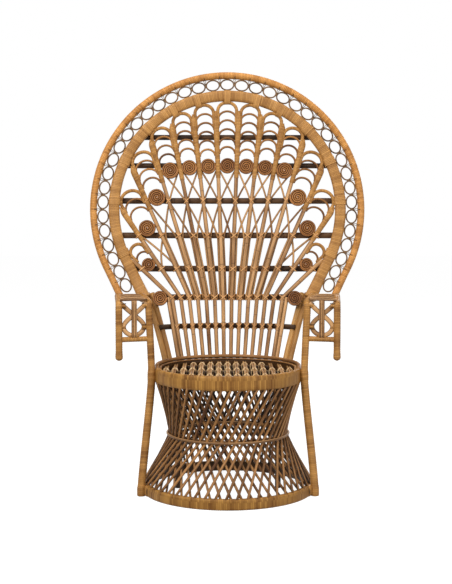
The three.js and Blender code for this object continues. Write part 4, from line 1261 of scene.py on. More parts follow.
class PEACOCK_OT_ribs(ChairPiece, bpy.types.Operator):
    """Builds the ribs and outermost sticks of the fan, and the wound trunks on the ribs"""

    bl_idname = "peacock.ribs"
    bl_label = "Ribs"

    # A rib's half width, how full it is at the hub and three higher bars, and how far it ends inside
    # its trunk.
    RIB_ACROSS = 0.0075
    FULL_BARS = [5, 4, 2, 1]
    FULL = [1.0, 1.14, 1.0, 0.98]
    TOP_TUCK = 0.016
    # A trunk starts below its coil and has a least length. It grows from one width to another and comes
    # to a point at its top.
    TRUNKS = 6
    TRUNK_DROP = 0.045
    TRUNK_LEAST = 0.03
    TRUNK_WIDTH = 0.82
    TRUNK_GROWTH = 0.28
    TRUNK_POINT = 0.8
    TRUNK_POINT_RUN = 0.013
    TRUNK_SECTION = outline(across=0.0108, deep=0.0085, sides=12)

    def execute(self, context):
        plan, finish = chair(context)
        s = plan.sizes
        ribs = Canes(seed=41)
        trunks = Canes(seed=42)
        foot = s.seat_top - FOOT_DROP
        section = outline(self.RIB_ACROSS, s.rib_radius, sides=10)
        nodes = []
        for side, word in SIDES.items():
            for k in range(RIB_PAIRS):
                j = side * (k + 0.5)
                top = self.rib_top(plan, j)
                wound_up = k < self.TRUNKS and self.trunk(plan, trunks, j, k, top)
                z = np.linspace(foot, top - self.TOP_TUCK if wound_up else top, 60)
                full = np.interp(z, plan.bars[self.FULL_BARS], self.FULL)
                ribs.add(plan.on_back(plan.rib_x(j, z), z), BACK, section, full)
                nodes.append(f"rib_{word}_{k + 1}")
            j = side * (RIB_PAIRS - 0.5 + 2 * s.rib_radius / plan.foot_pitch)
            z = np.linspace(foot, plan.hub, 24)
            ribs.add(plan.on_back(plan.rib_x(j, z), z), BACK, section)
            nodes.append(f"edge_stick_{word}")
        ribs.make("ribs", finish["rib"], "peeled_cane", *nodes)
        trunks.make("wound_trunks", finish["leg"], "wrapped_cane")
        return {"FINISHED"}

    def rib_top(self, plan, j):
        """Where the topmost arch inside a rib springs, or the hoop if that comes first."""
        plume = Plume(plan, int(abs(j) - 0.5))
        spring = plume.top_spring()
        split = plume.toward(spring, plume.rib_offset(abs(j), spring))[1]
        z = np.linspace(plan.hub, plan.centre + plan.sizes.hoop_radius, 4000)
        inside = plan.hoop_reach(plan.rib_x(abs(j), z), z) < plan.inner_edge
        return min(z[inside][-1], split)

    def trunk(self, plan, trunks, j, k, top):
        """The wound bundle of a rib and the arches' legs, if there is room, up to where it splits."""
        low = plan.centre + COIL_SHARES[k] * plan.inner_edge - self.TRUNK_DROP
        if top - low < self.TRUNK_LEAST:
            return False
        z = np.array([low, top])
        path, swell = wound(plan.on_back(plan.rib_x(j, z), z), plan.sizes.strip, HOOP_BULGE)
        share = np.linspace(0, 1, len(path))
        to_top = (1 - share) * (top - low)
        point = self.TRUNK_POINT * bell(to_top, 0, self.TRUNK_POINT_RUN, power=2)
        width = self.TRUNK_WIDTH + self.TRUNK_GROWTH * share - point
        trunks.add(path, BACK, self.TRUNK_SECTION, swell * width)
        return True


class PEACOCK_OT_cross_canes(ChairPiece, bpy.types.Operator):
    """Builds the thin canes that swing from rib to rib"""

    bl_idname = "peacock.cross_canes"
    bl_label = "Crossing canes"

    # Ribs that carry such canes, the last ribs that one reaches at its first and second swing, how far
    # beside its rib it runs and how deep behind, with a step between the two ways.
    RIBS = 5
    FIRST_LAST = 4.6
    SECOND_LAST = 3.6
    BESIDE = 0.0102
    LAYER = 0.0062
    LAYER_STEP = 0.0008
    # How far canes run past a bar, where they leave their rib below one, their points' step, and how thin
    # they get on the way up.
    PAST = 0.006
    LEAVE = 0.03
    POINT_STEP = 0.012
    THIN = [1.0, 0.84]
    SECTION = outline(across=0.0043, deep=0.0042, sides=8)
    # The outermost crossed pair: its ribs and its depth behind them.
    OUTER_RIBS = (4.5, 5.5)
    OUTER_LAYER = 0.0075
    OUTER_SECTION = outline(across=0.0040, deep=0.0038, sides=8)

    def execute(self, context):
        plan, finish = chair(context)
        canes = Canes(seed=43)
        for k in range(self.RIBS):
            for side in SIDES:
                for step in (-1, 1):
                    j = side * (k + 0.5)
                    if abs(j + step) <= self.FIRST_LAST:
                        self.swinging(plan, canes, j, step)
        self.outer_pairs(plan, canes)
        canes.make("crossing_canes", finish["cross"], "bent_cane", "cross_canes")
        return {"FINISHED"}

    def swinging(self, plan, canes, j, step):
        """A cane beside a rib that swings over to the next rib at each higher bar."""
        bars = plan.bars
        z = [plan.hub - self.PAST, plan.dish_top, bars[3] - self.LEAVE, bars[3], bars[2]]
        x = [plan.rib_x(j, height) + step * self.BESIDE for height in z[:4]]
        x.append(plan.rib_x(j + step, z[4]))
        if abs(j + 2 * step) < self.SECOND_LAST:
            z.append(bars[1] - self.PAST)
            x.append(plan.rib_x(j + 2 * step, z[-1]))
        layer = np.full(len(x), self.LAYER + self.LAYER_STEP * step)
        flat = even(eased(np.stack([np.array(x), layer, np.array(z)], -1)), self.POINT_STEP)
        thin = np.interp(flat[:, 2], [bars[4], bars[2]], self.THIN)
        canes.add(plan.on_back(flat[:, 0], flat[:, 2], flat[:, 1]), BACK, self.SECTION, thin)

    def outer_pairs(self, plan, canes):
        """On each side, two canes that cross between the outermost ribs."""
        z = np.linspace(plan.bars[4] - self.PAST, plan.bars[3] + self.PAST, 12)
        share = np.linspace(0, 1, 12)
        inner = plan.rib_x(self.OUTER_RIBS[0], z) - self.BESIDE
        outer = plan.rib_x(self.OUTER_RIBS[1], z)
        for side in SIDES:
            for x in (inner + (outer - inner) * share, outer + (inner - outer) * share):
                canes.add(plan.on_back(side * x, z, self.OUTER_LAYER), BACK, self.OUTER_SECTION)


class PEACOCK_OT_back_bars(ChairPiece, bpy.types.Operator):
    """Builds the dark level bars behind the ribs"""

    bl_idname = "peacock.back_bars"
    bl_label = "Back bars"

    # Bars that end in the hoop and how far they run into it, the stouter bars, and half their height.
    IN_HOOP = 5
    TUCK = 0.006
    STOUT_BARS = (2, 3, 4, 5)
    STOUT = 0.0112
    SLIM = 0.0098

    def execute(self, context):
        plan, finish = chair(context)
        s = plan.sizes
        canes = Canes(seed=44)
        for n, z in enumerate(plan.bars):
            if n < self.IN_HOOP:
                half = plan.hoop_half(s.hoop_radius + self.TUCK, z)
            else:
                low, high = box_of(f"bar_{n + 1}")
                half = (high[0] - low[0]) / 2
            x = np.linspace(-half, half, 48)
            height = self.STOUT if n in self.STOUT_BARS else self.SLIM
            canes.add(plan.on_back(x, z, plan.bar_layer), UP, outline(s.bar_radius, height, sides=12))
        nodes = sorted(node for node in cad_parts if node.startswith("bar_"))
        canes.make("back_bars", finish["pole"], "dark_pole", *nodes)
        return {"FINISHED"}


class PEACOCK_OT_back_poles(ChairPiece, bpy.types.Operator):
    """Builds the double poles from the hoop's ends down to the sides of the seat band"""

    bl_idname = "peacock.back_poles"
    bl_label = "Back poles"

    # Where a pair stands on the seat band: its angle from the back, how close it is and which way the
    # two poles lie side by side there.
    FOOT_ANGLE = np.radians(54.8)
    FOOT_LAP = 0.0003
    FOOT_SPREAD = np.array([0.9, -0.44])
    # The joint below the rail's height, the top below the arm's, and the place at the hoop's end.
    JOINT_DROP = 0.004
    TOP_DROP = 0.002
    TOP_INSET = 0.004
    TOP_GAP = 0.0022
    # How far across and back the middle is, as shares, the points' step, and the fullness.
    MIDDLE = np.array([0.5, 0.62])
    POINT_STEP = 0.012
    FULL = 1.1

    def execute(self, context):
        plan, finish = chair(context)
        s = plan.sizes
        joint = plan.rail_height - self.JOINT_DROP
        top = plan.arm_top - self.TOP_DROP
        radius = s.seat_radius + s.pole_radius - self.FOOT_LAP
        layer = s.hoop_depth / 2 + s.pole_radius + self.TOP_GAP
        stand = np.array([radius * np.sin(self.FOOT_ANGLE), radius * np.cos(self.FOOT_ANGLE)])
        for side, word in SIDES.items():
            canes = Canes(seed=45 + side)
            for half in (-1, 1):
                apart = half * s.pole_radius
                foot = stand + apart * self.FOOT_SPREAD
                top_x = s.hoop_opening - self.TOP_INSET + apart
                head = np.array([top_x, plan.back_depth(top_x, top) + layer])
                middle = foot + (head - foot) * self.MIDDLE
                points = [
                    [*foot, s.seat_top - FOOT_DROP],
                    [*foot, joint],
                    [*middle, (joint + top) / 2],
                    [*head, top],
                ]
                path = mirrored(even(eased(points), self.POINT_STEP), side)
                canes.add(path, RIGHT, round_outline(self.FULL * s.pole_radius, sides=12))
            canes.make(f"back_pole_{word}_pair", finish["bark"], "dark_pole", f"back_pole_{word}")
        return {"FINISHED"}


class PEACOCK_OT_plumes(ChairPiece, bpy.types.Operator):
    """Builds the plumes: wound top arches, thin nested arches and coils, and the coils at the edge"""

    bl_idname = "peacock.plumes"
    bl_label = "Plumes"

    # How far a top arch's legs go down, in the long and the short plumes.
    LONG_PLUMES = 5
    LONG_LEGS = np.array([0.05, 0.025])
    SHORT_LEGS = np.array([0.03, 0.015])
    TOP_SECTION = outline(across=0.0064, deep=0.0052, sides=10)
    ARCH_SECTION = outline(across=0.0041, deep=0.0035, sides=8)
    # A coil's layer before the ribs, its cane's width as a share of its depth, points to a turn, turns
    # added to those that fill it, the share of a turn that stays round, and the least radius. An edge
    # coil lies a little below the hub.
    COIL_LAYER = -0.002
    COIL_BROAD = 1.085
    COIL_POINTS = 24
    COIL_EXTRA = 0.55
    COIL_ROUND = 0.6
    COIL_HOLE = 0.0004
    EDGE_DROP = 0.001

    def execute(self, context):
        plan, finish = chair(context)
        top_arches = Canes(seed=51)
        arches = Canes(seed=52)
        coils = Canes(seed=53)
        nodes = ["plume_middle"]
        for column in range(len(ARCH_COUNTS)):
            plume = Plume(plan, column)
            for side in SIDES if column else (1,):
                self.arches(plan, plume, side, top_arches, arches)
                self.coil(plan, plume, side, coils)
                if column:
                    nodes.append(f"plume_{SIDES[side]}_{column}")
        edges = self.edge_coils(plan, coils)
        top_arches.make("plume_top_arches", finish["leg"], "bent_cane", *nodes)
        arches.make("plume_arches", finish["bent"], "bent_cane", *nodes)
        coils.make("plume_coils", finish["coil"], "bent_cane", *nodes, *edges)
        return {"FINISHED"}

    def arches(self, plan, plume, side, top_arches, arches):
        """The wound top arch with its two legs, and the thin arches nested under it."""
        springs = plume.springs()
        up, across = plume.arch(springs[0])
        legs = self.LONG_LEGS if plume.column < self.LONG_PLUMES else self.SHORT_LEGS
        low = springs[0] - legs
        up = np.concatenate([low, up, low[::-1]])
        across = np.concatenate([plume.left(low), across, plume.edge(low[::-1])])
        x, z = plume.toward(up, across)
        path = eased(plan.on_back(side * x, z), rounds=1)
        top_arches.wind(path, BACK, self.TOP_SECTION, plan.sizes.strip, HOOP_BULGE)
        x, z = plume.toward(*plume.arch(springs[1:]))
        arches.add(plan.on_back(side * x, z), BACK, self.ARCH_SECTION)

    def spiral(self, reach, cane):
        """A flat coil, its turns touching, whose radius grows with the angle up to a last round turn."""
        outer = reach - cane
        pitch = 2 * cane
        turns = outer / pitch + self.COIL_EXTRA
        left = turns * (1 - np.linspace(0, 1, int(turns * self.COIL_POINTS)))
        radius = np.maximum(outer - pitch * np.maximum(left - self.COIL_ROUND, 0), self.COIL_HOLE)
        angle = np.pi + 2 * np.pi * left
        return radius * np.cos(angle), radius * np.sin(angle)

    def coil(self, plan, plume, side, coils):
        """The coil at the foot of a plume."""
        cane = plan.sizes.coil_cane
        across, up = self.spiral(plume.coil_reach(), cane)
        x, z = plume.toward(up, across)
        section = outline(self.COIL_BROAD * cane, cane, sides=8)
        coils.add(plan.on_back(side * x, z, self.COIL_LAYER), BACK, section)

    def edge_coils(self, plan, coils):
        """A coil before the outermost stick on each side, and the nodes that they stand for."""
        s = plan.sizes
        across, up = self.spiral(s.edge_coil, s.coil_cane)
        section = outline(self.COIL_BROAD * s.coil_cane, s.coil_cane, sides=8)
        for side in SIDES:
            x = side * (RIB_PAIRS * plan.hub_pitch + s.edge_coil + across)
            path = plan.on_back(x, plan.hub - self.EDGE_DROP + up, -s.rib_radius - s.coil_cane)
            coils.add(path, BACK, section)
        return [f"edge_coil_{word}" for word in SIDES.values()]


class PEACOCK_OT_lashings(ChairPiece, bpy.types.Operator):
    """Builds two slanted loops of strip round each crossing of a rib and a bar"""

    bl_idname = "peacock.lashings"
    bl_label = "Rib lashings"

    # Lashed bars, the wider ones, half the loops' widths and height, their distance from rib and bar,
    # the room to the hoop, the step between two loops, and how square a loop is.
    BARS = (2, 3, 4, 5, 6)
    WIDE_BARS = (3, 4, 5)
    WIDE = 0.0125
    NARROW = 0.0095
    HEIGHT = 0.0105
    OFF = 0.0012
    ROOM = 0.01
    LOOP_STEP = 0.0006
    SQUARE = 0.7
    SECTION = outline(across=0.0009, deep=0.0026, sides=4)

    def execute(self, context):
        plan, finish = chair(context)
        s = plan.sizes
        canes = Canes(seed=61)
        turn = full_turn(14)
        front = -s.rib_radius - self.OFF
        rear = plan.bar_layer + s.bar_radius + self.OFF
        across = signed_power(np.cos(turn), self.SQUARE)
        deep = signed_power(np.sin(turn), self.SQUARE)
        ribs = np.arange(-RIB_PAIRS + 0.5, RIB_PAIRS)
        for n in self.BARS:
            z = plan.bars[n]
            x = plan.rib_x(ribs, z)
            x = x[plan.hoop_reach(x, z) < plan.inner_edge - self.ROOM]
            crossings = plan.on_back(x, z)[:, None]
            width = self.WIDE if n in self.WIDE_BARS else self.NARROW
            for lean in (-1, 1):
                layer = (front + rear) / 2 + (rear - front) / 2 * deep - self.LOOP_STEP * lean
                loop = np.stack([width * across, layer, self.HEIGHT * lean * across], -1)
                canes.add(crossings + loop, UP, self.SECTION, closed=True)
        canes.make("rib_lashings", finish["lash"], "peeled_cane")
        return {"FINISHED"}


def way_back(path, start, end):
    """How far back each point of a path is, from 0 at the start's depth to 1 at the end's."""
    return np.clip((path[:, 1] - start) / (end - start), 0, 1)


class PEACOCK_OT_legs(ChairPiece, bpy.types.Operator):
    """Builds the wound front legs, bent over at the top to run back to the inner hoop"""

    bl_idname = "peacock.legs"
    bl_label = "Legs"

    # How far past a band the leg runs straight. Its fullness, and what is added below the seat, where
    # it passes the seat band and the base ring, and toward its back end.
    STRAIGHT = 0.006
    FULL = 1.07
    BELOW = 0.11
    BELOW_RUN = 0.04
    AT_SEAT = 0.16
    SEAT_DROP = 0.018
    SEAT_HALF = 0.017
    AT_FOOT = 0.13
    FOOT_MIDDLE = 0.014
    FOOT_HALF = 0.018
    AT_BACK = 0.42

    def execute(self, context):
        plan, finish = chair(context)
        s = plan.sizes
        foot_x = plan.tangent_x(s.base_radius, LEG_FOOT_Y)
        inner_x, inner_y, _, _ = plan.arm_ends()
        points = [
            [foot_x, LEG_FOOT_Y, 0],
            [foot_x, LEG_FOOT_Y, s.base_band + self.STRAIGHT],
            [plan.leg_seat, LEG_SEAT_Y, s.seat_top - s.seat_band - self.STRAIGHT],
            [plan.leg_seat, LEG_SEAT_Y, s.seat_top + self.STRAIGHT],
            *(BEND + [plan.leg_top, LEG_TOP_Y, s.arm_height]),
            [inner_x, inner_y, s.arm_height],
        ]
        for side, word in SIDES.items():
            path, swell = wound(mirrored(eased(points, rounds=2), side), s.strip, POLE_BULGE)
            z = path[:, 2]
            full = self.FULL + self.BELOW * np.clip((s.seat_top - z) / self.BELOW_RUN, 0, 1)
            full = full + self.AT_SEAT * bell(z, s.seat_top - self.SEAT_DROP, self.SEAT_HALF, power=4)
            full = full + self.AT_FOOT * bell(z, self.FOOT_MIDDLE, self.FOOT_HALF, power=4)
            full = full + self.AT_BACK * way_back(path, LEG_TOP_Y + BEND_REACH, inner_y)
            canes = Canes(seed=71 + side)
            canes.add(path, RIGHT, round_outline(s.leg_radius, sides=14), swell * full)
            canes.make(f"leg_{word}_winding", finish["leg"], "wrapped_cane", f"leg_{word}")
        return {"FINISHED"}


class PEACOCK_OT_arm_rails(ChairPiece, bpy.types.Operator):
    """Builds the wound outer arm rails, bent down at the front as a hanging stub"""

    bl_idname = "peacock.arm_rails"
    bl_label = "Arm rails"

    # The rounded tip of the stub and its least width, the knob above it, and the fullness of the rail
    # with what is added toward its back end.
    TIP = 0.010
    TIP_LEAST = 0.2
    KNOB = 0.1
    KNOB_MIDDLE = 0.014
    KNOB_HALF = 0.012
    FULL = 1.06
    AT_BACK = 0.16

    def execute(self, context):
        plan, finish = chair(context)
        s = plan.sizes
        _, _, outer_x, outer_y = plan.arm_ends()
        z = plan.arm_top - s.arm_pole
        points = [
            [plan.stub, STUB_Y, STUB_BOTTOM],
            *(BEND + [plan.stub, STUB_Y, z]),
            [outer_x, outer_y, z],
        ]
        for side, word in SIDES.items():
            path, swell = wound(mirrored(eased(points, rounds=2), side), s.strip, POLE_BULGE)
            up = path[:, 2] - STUB_BOTTOM
            tip = np.sqrt(np.clip(1 - (1 - up / self.TIP) ** 2, self.TIP_LEAST**2, 1))
            full = np.where(up < self.TIP, tip, 1)
            full = full * (1 + self.KNOB * bell(up, self.KNOB_MIDDLE, self.KNOB_HALF, power=2))
            full = full * (self.FULL + self.AT_BACK * way_back(path, STUB_Y + BEND_REACH, outer_y))
            canes = Canes(seed=74 + side)
            canes.add(path, RIGHT, round_outline(s.arm_pole, sides=14), swell * full)
            canes.make(f"arm_rail_{word}_winding", finish["leg"], "wrapped_cane", f"arm_rail_{word}")
        return {"FINISHED"}


class PanelPlace:
    """The upright plane of a fret panel: p runs out from the leg, z up, and a lift to the front."""

    # How far the panel laps leg and stub, the ribbons' inset from there, the height of the bar's middle,
    # and the margin above it and below the arm's middle.
    LAP = 0.002
    RIBBON_INSET = 0.0055
    BAR_HEIGHT = 0.517
    MARGIN = 0.009

    def __init__(self, plan, side):
        s = plan.sizes
        self.side = side
        self.start = np.array([plan.leg_top, LEG_TOP_Y])
        way = np.array([plan.stub, STUB_Y]) - self.start
        length = np.linalg.norm(way)
        self.way = way / length
        self.forward = np.array([self.way[1], -self.way[0]])
        self.facing = np.array([side * self.forward[0], self.forward[1], 0.0])
        self.low, self.high = s.leg_radius - self.LAP, length - s.arm_pole + self.LAP
        self.middle = (self.low + self.high) / 2
        self.half = (self.high - self.low) / 2 - self.RIBBON_INSET
        self.bottom, self.top = self.BAR_HEIGHT + self.MARGIN, s.arm_height - self.MARGIN

    def at(self, p, z, lift=0.0):
        """Points of the panel on its own side of the chair."""
        p, z, lift = np.broadcast_arrays(p, z, lift)
        flat = self.start + p[..., None] * self.way + lift[..., None] * self.forward
        return mirrored(np.stack([flat[..., 0], flat[..., 1], z], -1), self.side)


class PEACOCK_OT_arm_panels(ChairPiece, bpy.types.Operator):
    """Builds the fret panels under the arms: canes and ribbons, short dark canes as painted shade, and
    wound bars
    """

    bl_idname = "peacock.arm_panels"
    bl_label = "Arm panels"

    # A ribbon's way as shares of the panel's half width and height: it starts in an upper corner, crosses
    # the middle, swings out to the other side and comes back to the middle below.
    ACROSS = np.array([-1.2, -1, -0.5, 0, 0.55, 0.95, 1, 0.75, 0.36, -0.1])
    HEIGHT = np.array([1.07, 1, 0.84, 0.7, 0.55, 0.4, 0.27, 0.13, 0.05, 0.02])
    RIBBON_LIFT = 0.0015
    RIBBON_SECTION = outline(across=0.0082, deep=0.0036, sides=8, power=2.6)
    POINT_STEP = 0.006
    # Three upright canes: their places, how far below the ribbons' foot and the arm's top they end, and
    # their lift. A round cane runs along the top and tucks into leg and stub.
    UPRIGHTS = (-0.0062, 0.0, 0.0062)
    UPRIGHT_FOOT = 0.003
    UPRIGHT_TOP = 0.004
    UPRIGHT_LIFT = 0.005
    UPRIGHT_SECTION = outline(across=0.0032, deep=0.0030, sides=8)
    TUCK = 0.004
    TOP_DROP = 0.002
    TOP_CANE = 0.0040
    # The wound bar, the wraps on the ribbons where they meet leg and stub, with short dark canes beside
    # them as painted shade, and the wrap at the ribbons' foot.
    BAR = 0.009
    WRAP_SPAN = np.array([-0.004, 0.013])
    WRAP_SHARE = 0.3
    WRAP_DROP = 0.001
    WRAP_SECTION = outline(across=0.0066, deep=0.0062, sides=12)
    SHADE_TICK_SPAN = np.linspace(-0.003, 0.0150, 6)
    KNOT_OFF = 0.0074
    SHADE_TICK_LIFT = 0.003
    KNOT_SECTION = outline(across=0.0016, deep=0.0014, sides=6)
    FOOT_SPAN = np.array([-0.013, 0.013])
    FOOT_RISE = 0.001
    FOOT_SECTION = outline(across=0.0062, deep=0.0080, sides=12)

    def execute(self, context):
        plan, finish = chair(context)
        for side, word in SIDES.items():
            panel = PanelPlace(plan, side)
            node = f"arm_panel_{word}"
            self.ribbons(plan, panel).make(f"{node}_canes", finish["rib"], "peeled_cane", node)
            # Short dark canes as painted shade at the panel's corners.
            self.dark_canes(panel).make(f"{node}_knots", finish["pole"], "dark_pole")
            self.bars(plan, panel).make(f"{node}_bar", finish["leg"], "wrapped_cane", node)
        return {"FINISHED"}

    def ribbons(self, plan, panel):
        """Two ribbons that cross, swing out to the sides and meet below, with three upright canes."""
        canes = Canes(seed=77 + panel.side)
        z = panel.bottom + self.HEIGHT * (panel.top - panel.bottom)
        for turn in (-1, 1):
            flat = panel.at(panel.middle + turn * self.ACROSS * panel.half, z, self.RIBBON_LIFT * turn)
            canes.add(even(eased(flat), self.POINT_STEP), panel.facing, self.RIBBON_SECTION)
        z = np.linspace(panel.bottom - self.UPRIGHT_FOOT, plan.arm_top - self.UPRIGHT_TOP, 12)
        for p in self.UPRIGHTS:
            canes.add(panel.at(panel.middle + p, z, self.UPRIGHT_LIFT), panel.facing, self.UPRIGHT_SECTION)
        ends = np.array([panel.low - self.TUCK, panel.high + self.TUCK])
        path = even(panel.at(ends, plan.arm_top - self.TOP_DROP), self.POINT_STEP)
        canes.add(path, UP, round_outline(self.TOP_CANE))
        return canes

    def wrap_places(self, panel):
        """Where the ribbons are bound to leg and stub: p, the hand that points into the panel, and z."""
        heights = (panel.bottom + self.WRAP_SHARE * (panel.top - panel.bottom), panel.top - self.WRAP_DROP)
        return [(p, hand, z) for p, hand in ((panel.low, 1), (panel.high, -1)) for z in heights]

    def dark_canes(self, panel):
        """A short dark cane above and below each wrap, as painted shade at the panel's corners."""
        canes = Canes(seed=86 + panel.side)
        for p, hand, z in self.wrap_places(panel):
            for off in (-self.KNOT_OFF, self.KNOT_OFF):
                path = panel.at(p + hand * self.SHADE_TICK_SPAN, z + off, self.SHADE_TICK_LIFT)
                canes.add(path, UP, self.KNOT_SECTION)
        return canes

    def bars(self, plan, panel):
        """The wound bar below the panel, the wraps on its sides and the wrap at the ribbons' foot."""
        strip = plan.sizes.strip
        canes = Canes(seed=80 + panel.side)
        path = panel.at(np.array([panel.low - self.TUCK, panel.high]), panel.BAR_HEIGHT)
        canes.wind(path, UP, round_outline(self.BAR, sides=12), strip, POLE_BULGE)
        for p, hand, z in self.wrap_places(panel):
            canes.wind(panel.at(p + hand * self.WRAP_SPAN, z), UP, self.WRAP_SECTION, strip, POLE_BULGE)
        path = panel.at(panel.middle + self.FOOT_SPAN, panel.bottom + self.FOOT_RISE)
        canes.wind(path, UP, self.FOOT_SECTION, strip, POLE_BULGE)
        return canes


class PEACOCK_OT_arm_tops(ChairPiece, bpy.types.Operator):
    """Builds the rungs of the arm tops, on one cane that runs along each arm"""

    bl_idname = "peacock.arm_tops"
    bl_label = "Arm tops"

    # The rungs' number, the first one's depth, the last one's share of the way back, their rise over the
    # rails, their cane, and how sharply their ends bend down. The long cane lies below them.
    RUNGS = 3
    FIRST_Y = -0.018
    LAST_SHARE = 0.62
    RISE = 0.0005
    CANE = 0.0045
    BEND_POWER = 5
    LONG_DROP = 0.0067
    LONG_PAST = 0.003

    def execute(self, context):
        plan, finish = chair(context)
        inner_x, inner_y, outer_x, outer_y = plan.arm_ends()
        z = plan.arm_top + self.RISE
        low = z - self.LONG_DROP
        y = np.linspace(self.FIRST_Y, LEG_TOP_Y + self.LAST_SHARE * (inner_y - LEG_TOP_Y), self.RUNGS)
        in_x = plan.leg_top + (inner_x - plan.leg_top) * (y - LEG_TOP_Y) / (inner_y - LEG_TOP_Y)
        out_x = plan.stub + (outer_x - plan.stub) * (y - STUB_Y) / (outer_y - STUB_Y)
        middle = (in_x + out_x) / 2
        t = np.linspace(-1, 1, 17)
        dip = plan.sizes.leg_radius * np.abs(t) ** self.BEND_POWER
        first, last = [middle[0], y[0] - self.LONG_PAST, low], [middle[-1], y[-1] + self.LONG_PAST, low]
        for side, word in SIDES.items():
            canes = Canes(seed=83 + side)
            for n in range(self.RUNGS):
                path = np.linspace([in_x[n], y[n], z], [out_x[n], y[n], z], len(t))
                path[:, 2] -= dip
                canes.add(mirrored(path, side), UP, round_outline(self.CANE))
            canes.add(mirrored(np.linspace(first, last, 12), side), UP, round_outline(self.CANE))
            canes.make(f"arm_top_{word}_canes", finish["rib"], "peeled_cane", f"arm_top_{word}")
        return {"FINISHED"}


class PEACOCK_OT_stage(bpy.types.Operator):
    """Builds the floor, the soft studio light and the camera"""

    bl_idname = "peacock.stage"
    bl_label = "Stage"

    # Each lamp's name, place, width and power in watts, and the point that all of them face.
    LAMPS = (
        ("key", (-2.0, -3.2, 3.2), 2.4, 156),
        ("fill", (2.8, -2.6, 1.6), 2.6, 60),
        ("top", (0.0, -0.5, 3.8), 2.4, 45),
        ("rear", (1.4, 3.6, 2.4), 2.6, 70),
    )
    LAMP_AIM = (0.0, 0.0, 0.7)
    # The camera's place and turn, and its lens and sensor width in millimetres.
    CAMERA_PLACE = (-0.026, -3.66, 0.888)
    CAMERA_TURN = (np.radians(86.55), 0, -0.0054)
    LENS = 66.3
    SENSOR = 36
    # Half the floor's side, its grey and its own light where it is seen, and the even light all round.
    FLOOR_REACH = 30.0
    FLOOR_GREY = 0.32
    FLOOR_GLOW = 0.91
    EVEN_LIGHT = 0.26

    def execute(self, context):
        scene = context.scene
        scene.view_settings.view_transform = "Standard"
        self.floor(scene)
        self.world(scene)
        for name, place, size, power in self.LAMPS:
            self.lamp(scene, name, place, size, power)
        self.camera(scene)
        return {"FINISHED"}

    def camera(self, scene):
        """The camera at the chair's front, a little to the left."""
        data = bpy.data.cameras.new("camera")
        data.lens = self.LENS
        data.sensor_width = self.SENSOR
        camera = bpy.data.objects.new("camera", data)
        camera.location = self.CAMERA_PLACE
        camera.rotation_euler = self.CAMERA_TURN
        scene.collection.objects.link(camera)
        scene.camera = camera

    def lamp(self, scene, name, place, size, power):
        """A round soft lamp that faces the chair."""
        data = bpy.data.lights.new(name, "AREA")
        data.shape = "DISK"
        data.size = size
        data.energy = power
        lamp = bpy.data.objects.new(name, data)
        lamp.location = place
        away = lamp.location - Vector(self.LAMP_AIM)
        lamp.rotation_euler = away.to_track_quat("Z", "Y").to_euler()
        scene.collection.objects.link(lamp)

    def floor(self, scene):
        """A pale floor that shows white, with the chair's soft shadow on it."""
        corners = self.FLOOR_REACH * np.array([[-1, -1, 0], [1, -1, 0], [1, 1, 0], [-1, 1, 0]])
        mesh = bpy.data.meshes.new("floor")
        mesh.from_pydata(corners.tolist(), [], [(0, 1, 2, 3)])
        material = bpy.data.materials.new("Pale floor")
        nodes = bare_nodes(material)
        strength = nodes.math("MULTIPLY", nodes.seen(), self.FLOOR_GLOW)
        glow = nodes.add("ShaderNodeEmission", {"Strength": strength})
        matt = nodes.add("ShaderNodeBsdfDiffuse", {"Color": (*[self.FLOOR_GREY] * 3, 1)})
        both = nodes.add("ShaderNodeAddShader", {0: matt.outputs[0], 1: glow.outputs[0]})
        nodes.add("ShaderNodeOutputMaterial", {"Surface": both.outputs[0]})
        mesh.materials.append(material)
        floor = bpy.data.objects.new("floor", mesh)
        scene.collection.objects.link(floor)

    def world(self, scene):
        """Even light from all round, and white where the camera sees past the floor."""
        world = bpy.data.worlds.new("studio")
        nodes = bare_nodes(world)
        strength = nodes.span(nodes.seen(), 0.0, 1.0, self.EVEN_LIGHT, 1.0)
        sky = nodes.add("ShaderNodeBackground", {"Color": (1, 1, 1, 1), "Strength": strength})
        nodes.add("ShaderNodeOutputWorld", {"Surface": sky.outputs[0]})
        scene.world = world


class PEACOCK_PT_panel(bpy.types.Panel):
    """Lists the chair's pieces, sizes and colours"""

    bl_idname = "PEACOCK_PT_panel"
    bl_label = "Peacock chair"
    bl_space_type = "VIEW_3D"
    bl_region_type = "UI"
    bl_category = "Peacock chair"

    def draw(self, context):
        for operator in OPERATORS:
            self.layout.operator(operator.bl_idname)
        for group in (context.scene.peacock_sizes, context.scene.peacock_colours):
            for name in group.__annotations__:
                self.layout.prop(group, name)


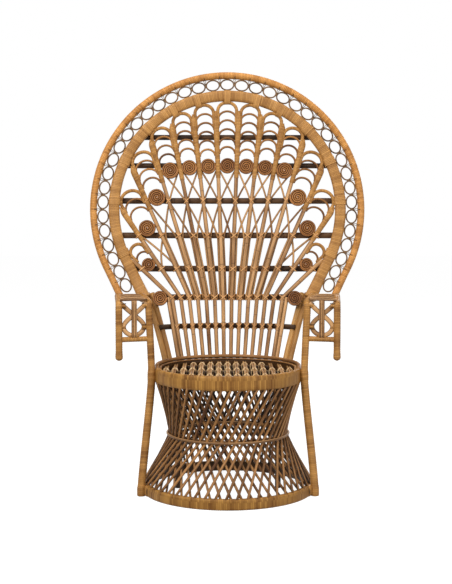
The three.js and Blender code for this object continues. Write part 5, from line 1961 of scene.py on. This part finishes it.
OPERATORS = (
    PEACOCK_OT_stage,
    PEACOCK_OT_base_ring,
    PEACOCK_OT_lattice,
    PEACOCK_OT_leg_feet,
    PEACOCK_OT_inner_posts,
    PEACOCK_OT_seat_band,
    PEACOCK_OT_seat_slats,
    PEACOCK_OT_seat_rail,
    PEACOCK_OT_outer_hoop,
    PEACOCK_OT_inner_hoop,
    PEACOCK_OT_ring_row,
    PEACOCK_OT_ribs,
    PEACOCK_OT_cross_canes,
    PEACOCK_OT_back_bars,
    PEACOCK_OT_back_poles,
    PEACOCK_OT_plumes,
    PEACOCK_OT_lashings,
    PEACOCK_OT_legs,
    PEACOCK_OT_arm_rails,
    PEACOCK_OT_arm_panels,
    PEACOCK_OT_arm_tops,
)
CLASSES = (ChairSizes, ChairColours, *OPERATORS, PEACOCK_PT_panel)


def register():
    """Makes the classes known to Blender and gives the scene its sizes and colours."""
    for cls in CLASSES:
        bpy.utils.register_class(cls)
    bpy.types.Scene.peacock_sizes = bpy.props.PointerProperty(type=ChairSizes)
    bpy.types.Scene.peacock_colours = bpy.props.PointerProperty(type=ChairColours)


def unregister():
    """Takes back what register did."""
    del bpy.types.Scene.peacock_colours
    del bpy.types.Scene.peacock_sizes
    for cls in reversed(CLASSES):
        bpy.utils.unregister_class(cls)


def main():
    """Builds the stage and the chair."""
    register()
    bpy.ops.peacock.stage()
    bpy.ops.peacock.base_ring()
    bpy.ops.peacock.lattice()
    bpy.ops.peacock.leg_feet()
    bpy.ops.peacock.inner_posts()
    bpy.ops.peacock.seat_band()
    bpy.ops.peacock.seat_slats()
    bpy.ops.peacock.seat_rail()
    bpy.ops.peacock.outer_hoop()
    bpy.ops.peacock.inner_hoop()
    bpy.ops.peacock.ring_row()
    bpy.ops.peacock.ribs()
    bpy.ops.peacock.cross_canes()
    bpy.ops.peacock.back_bars()
    bpy.ops.peacock.back_poles()
    bpy.ops.peacock.plumes()
    bpy.ops.peacock.lashings()
    bpy.ops.peacock.legs()
    bpy.ops.peacock.arm_rails()
    bpy.ops.peacock.arm_panels()
    bpy.ops.peacock.arm_tops()


if __name__ == "__main__":
    main()
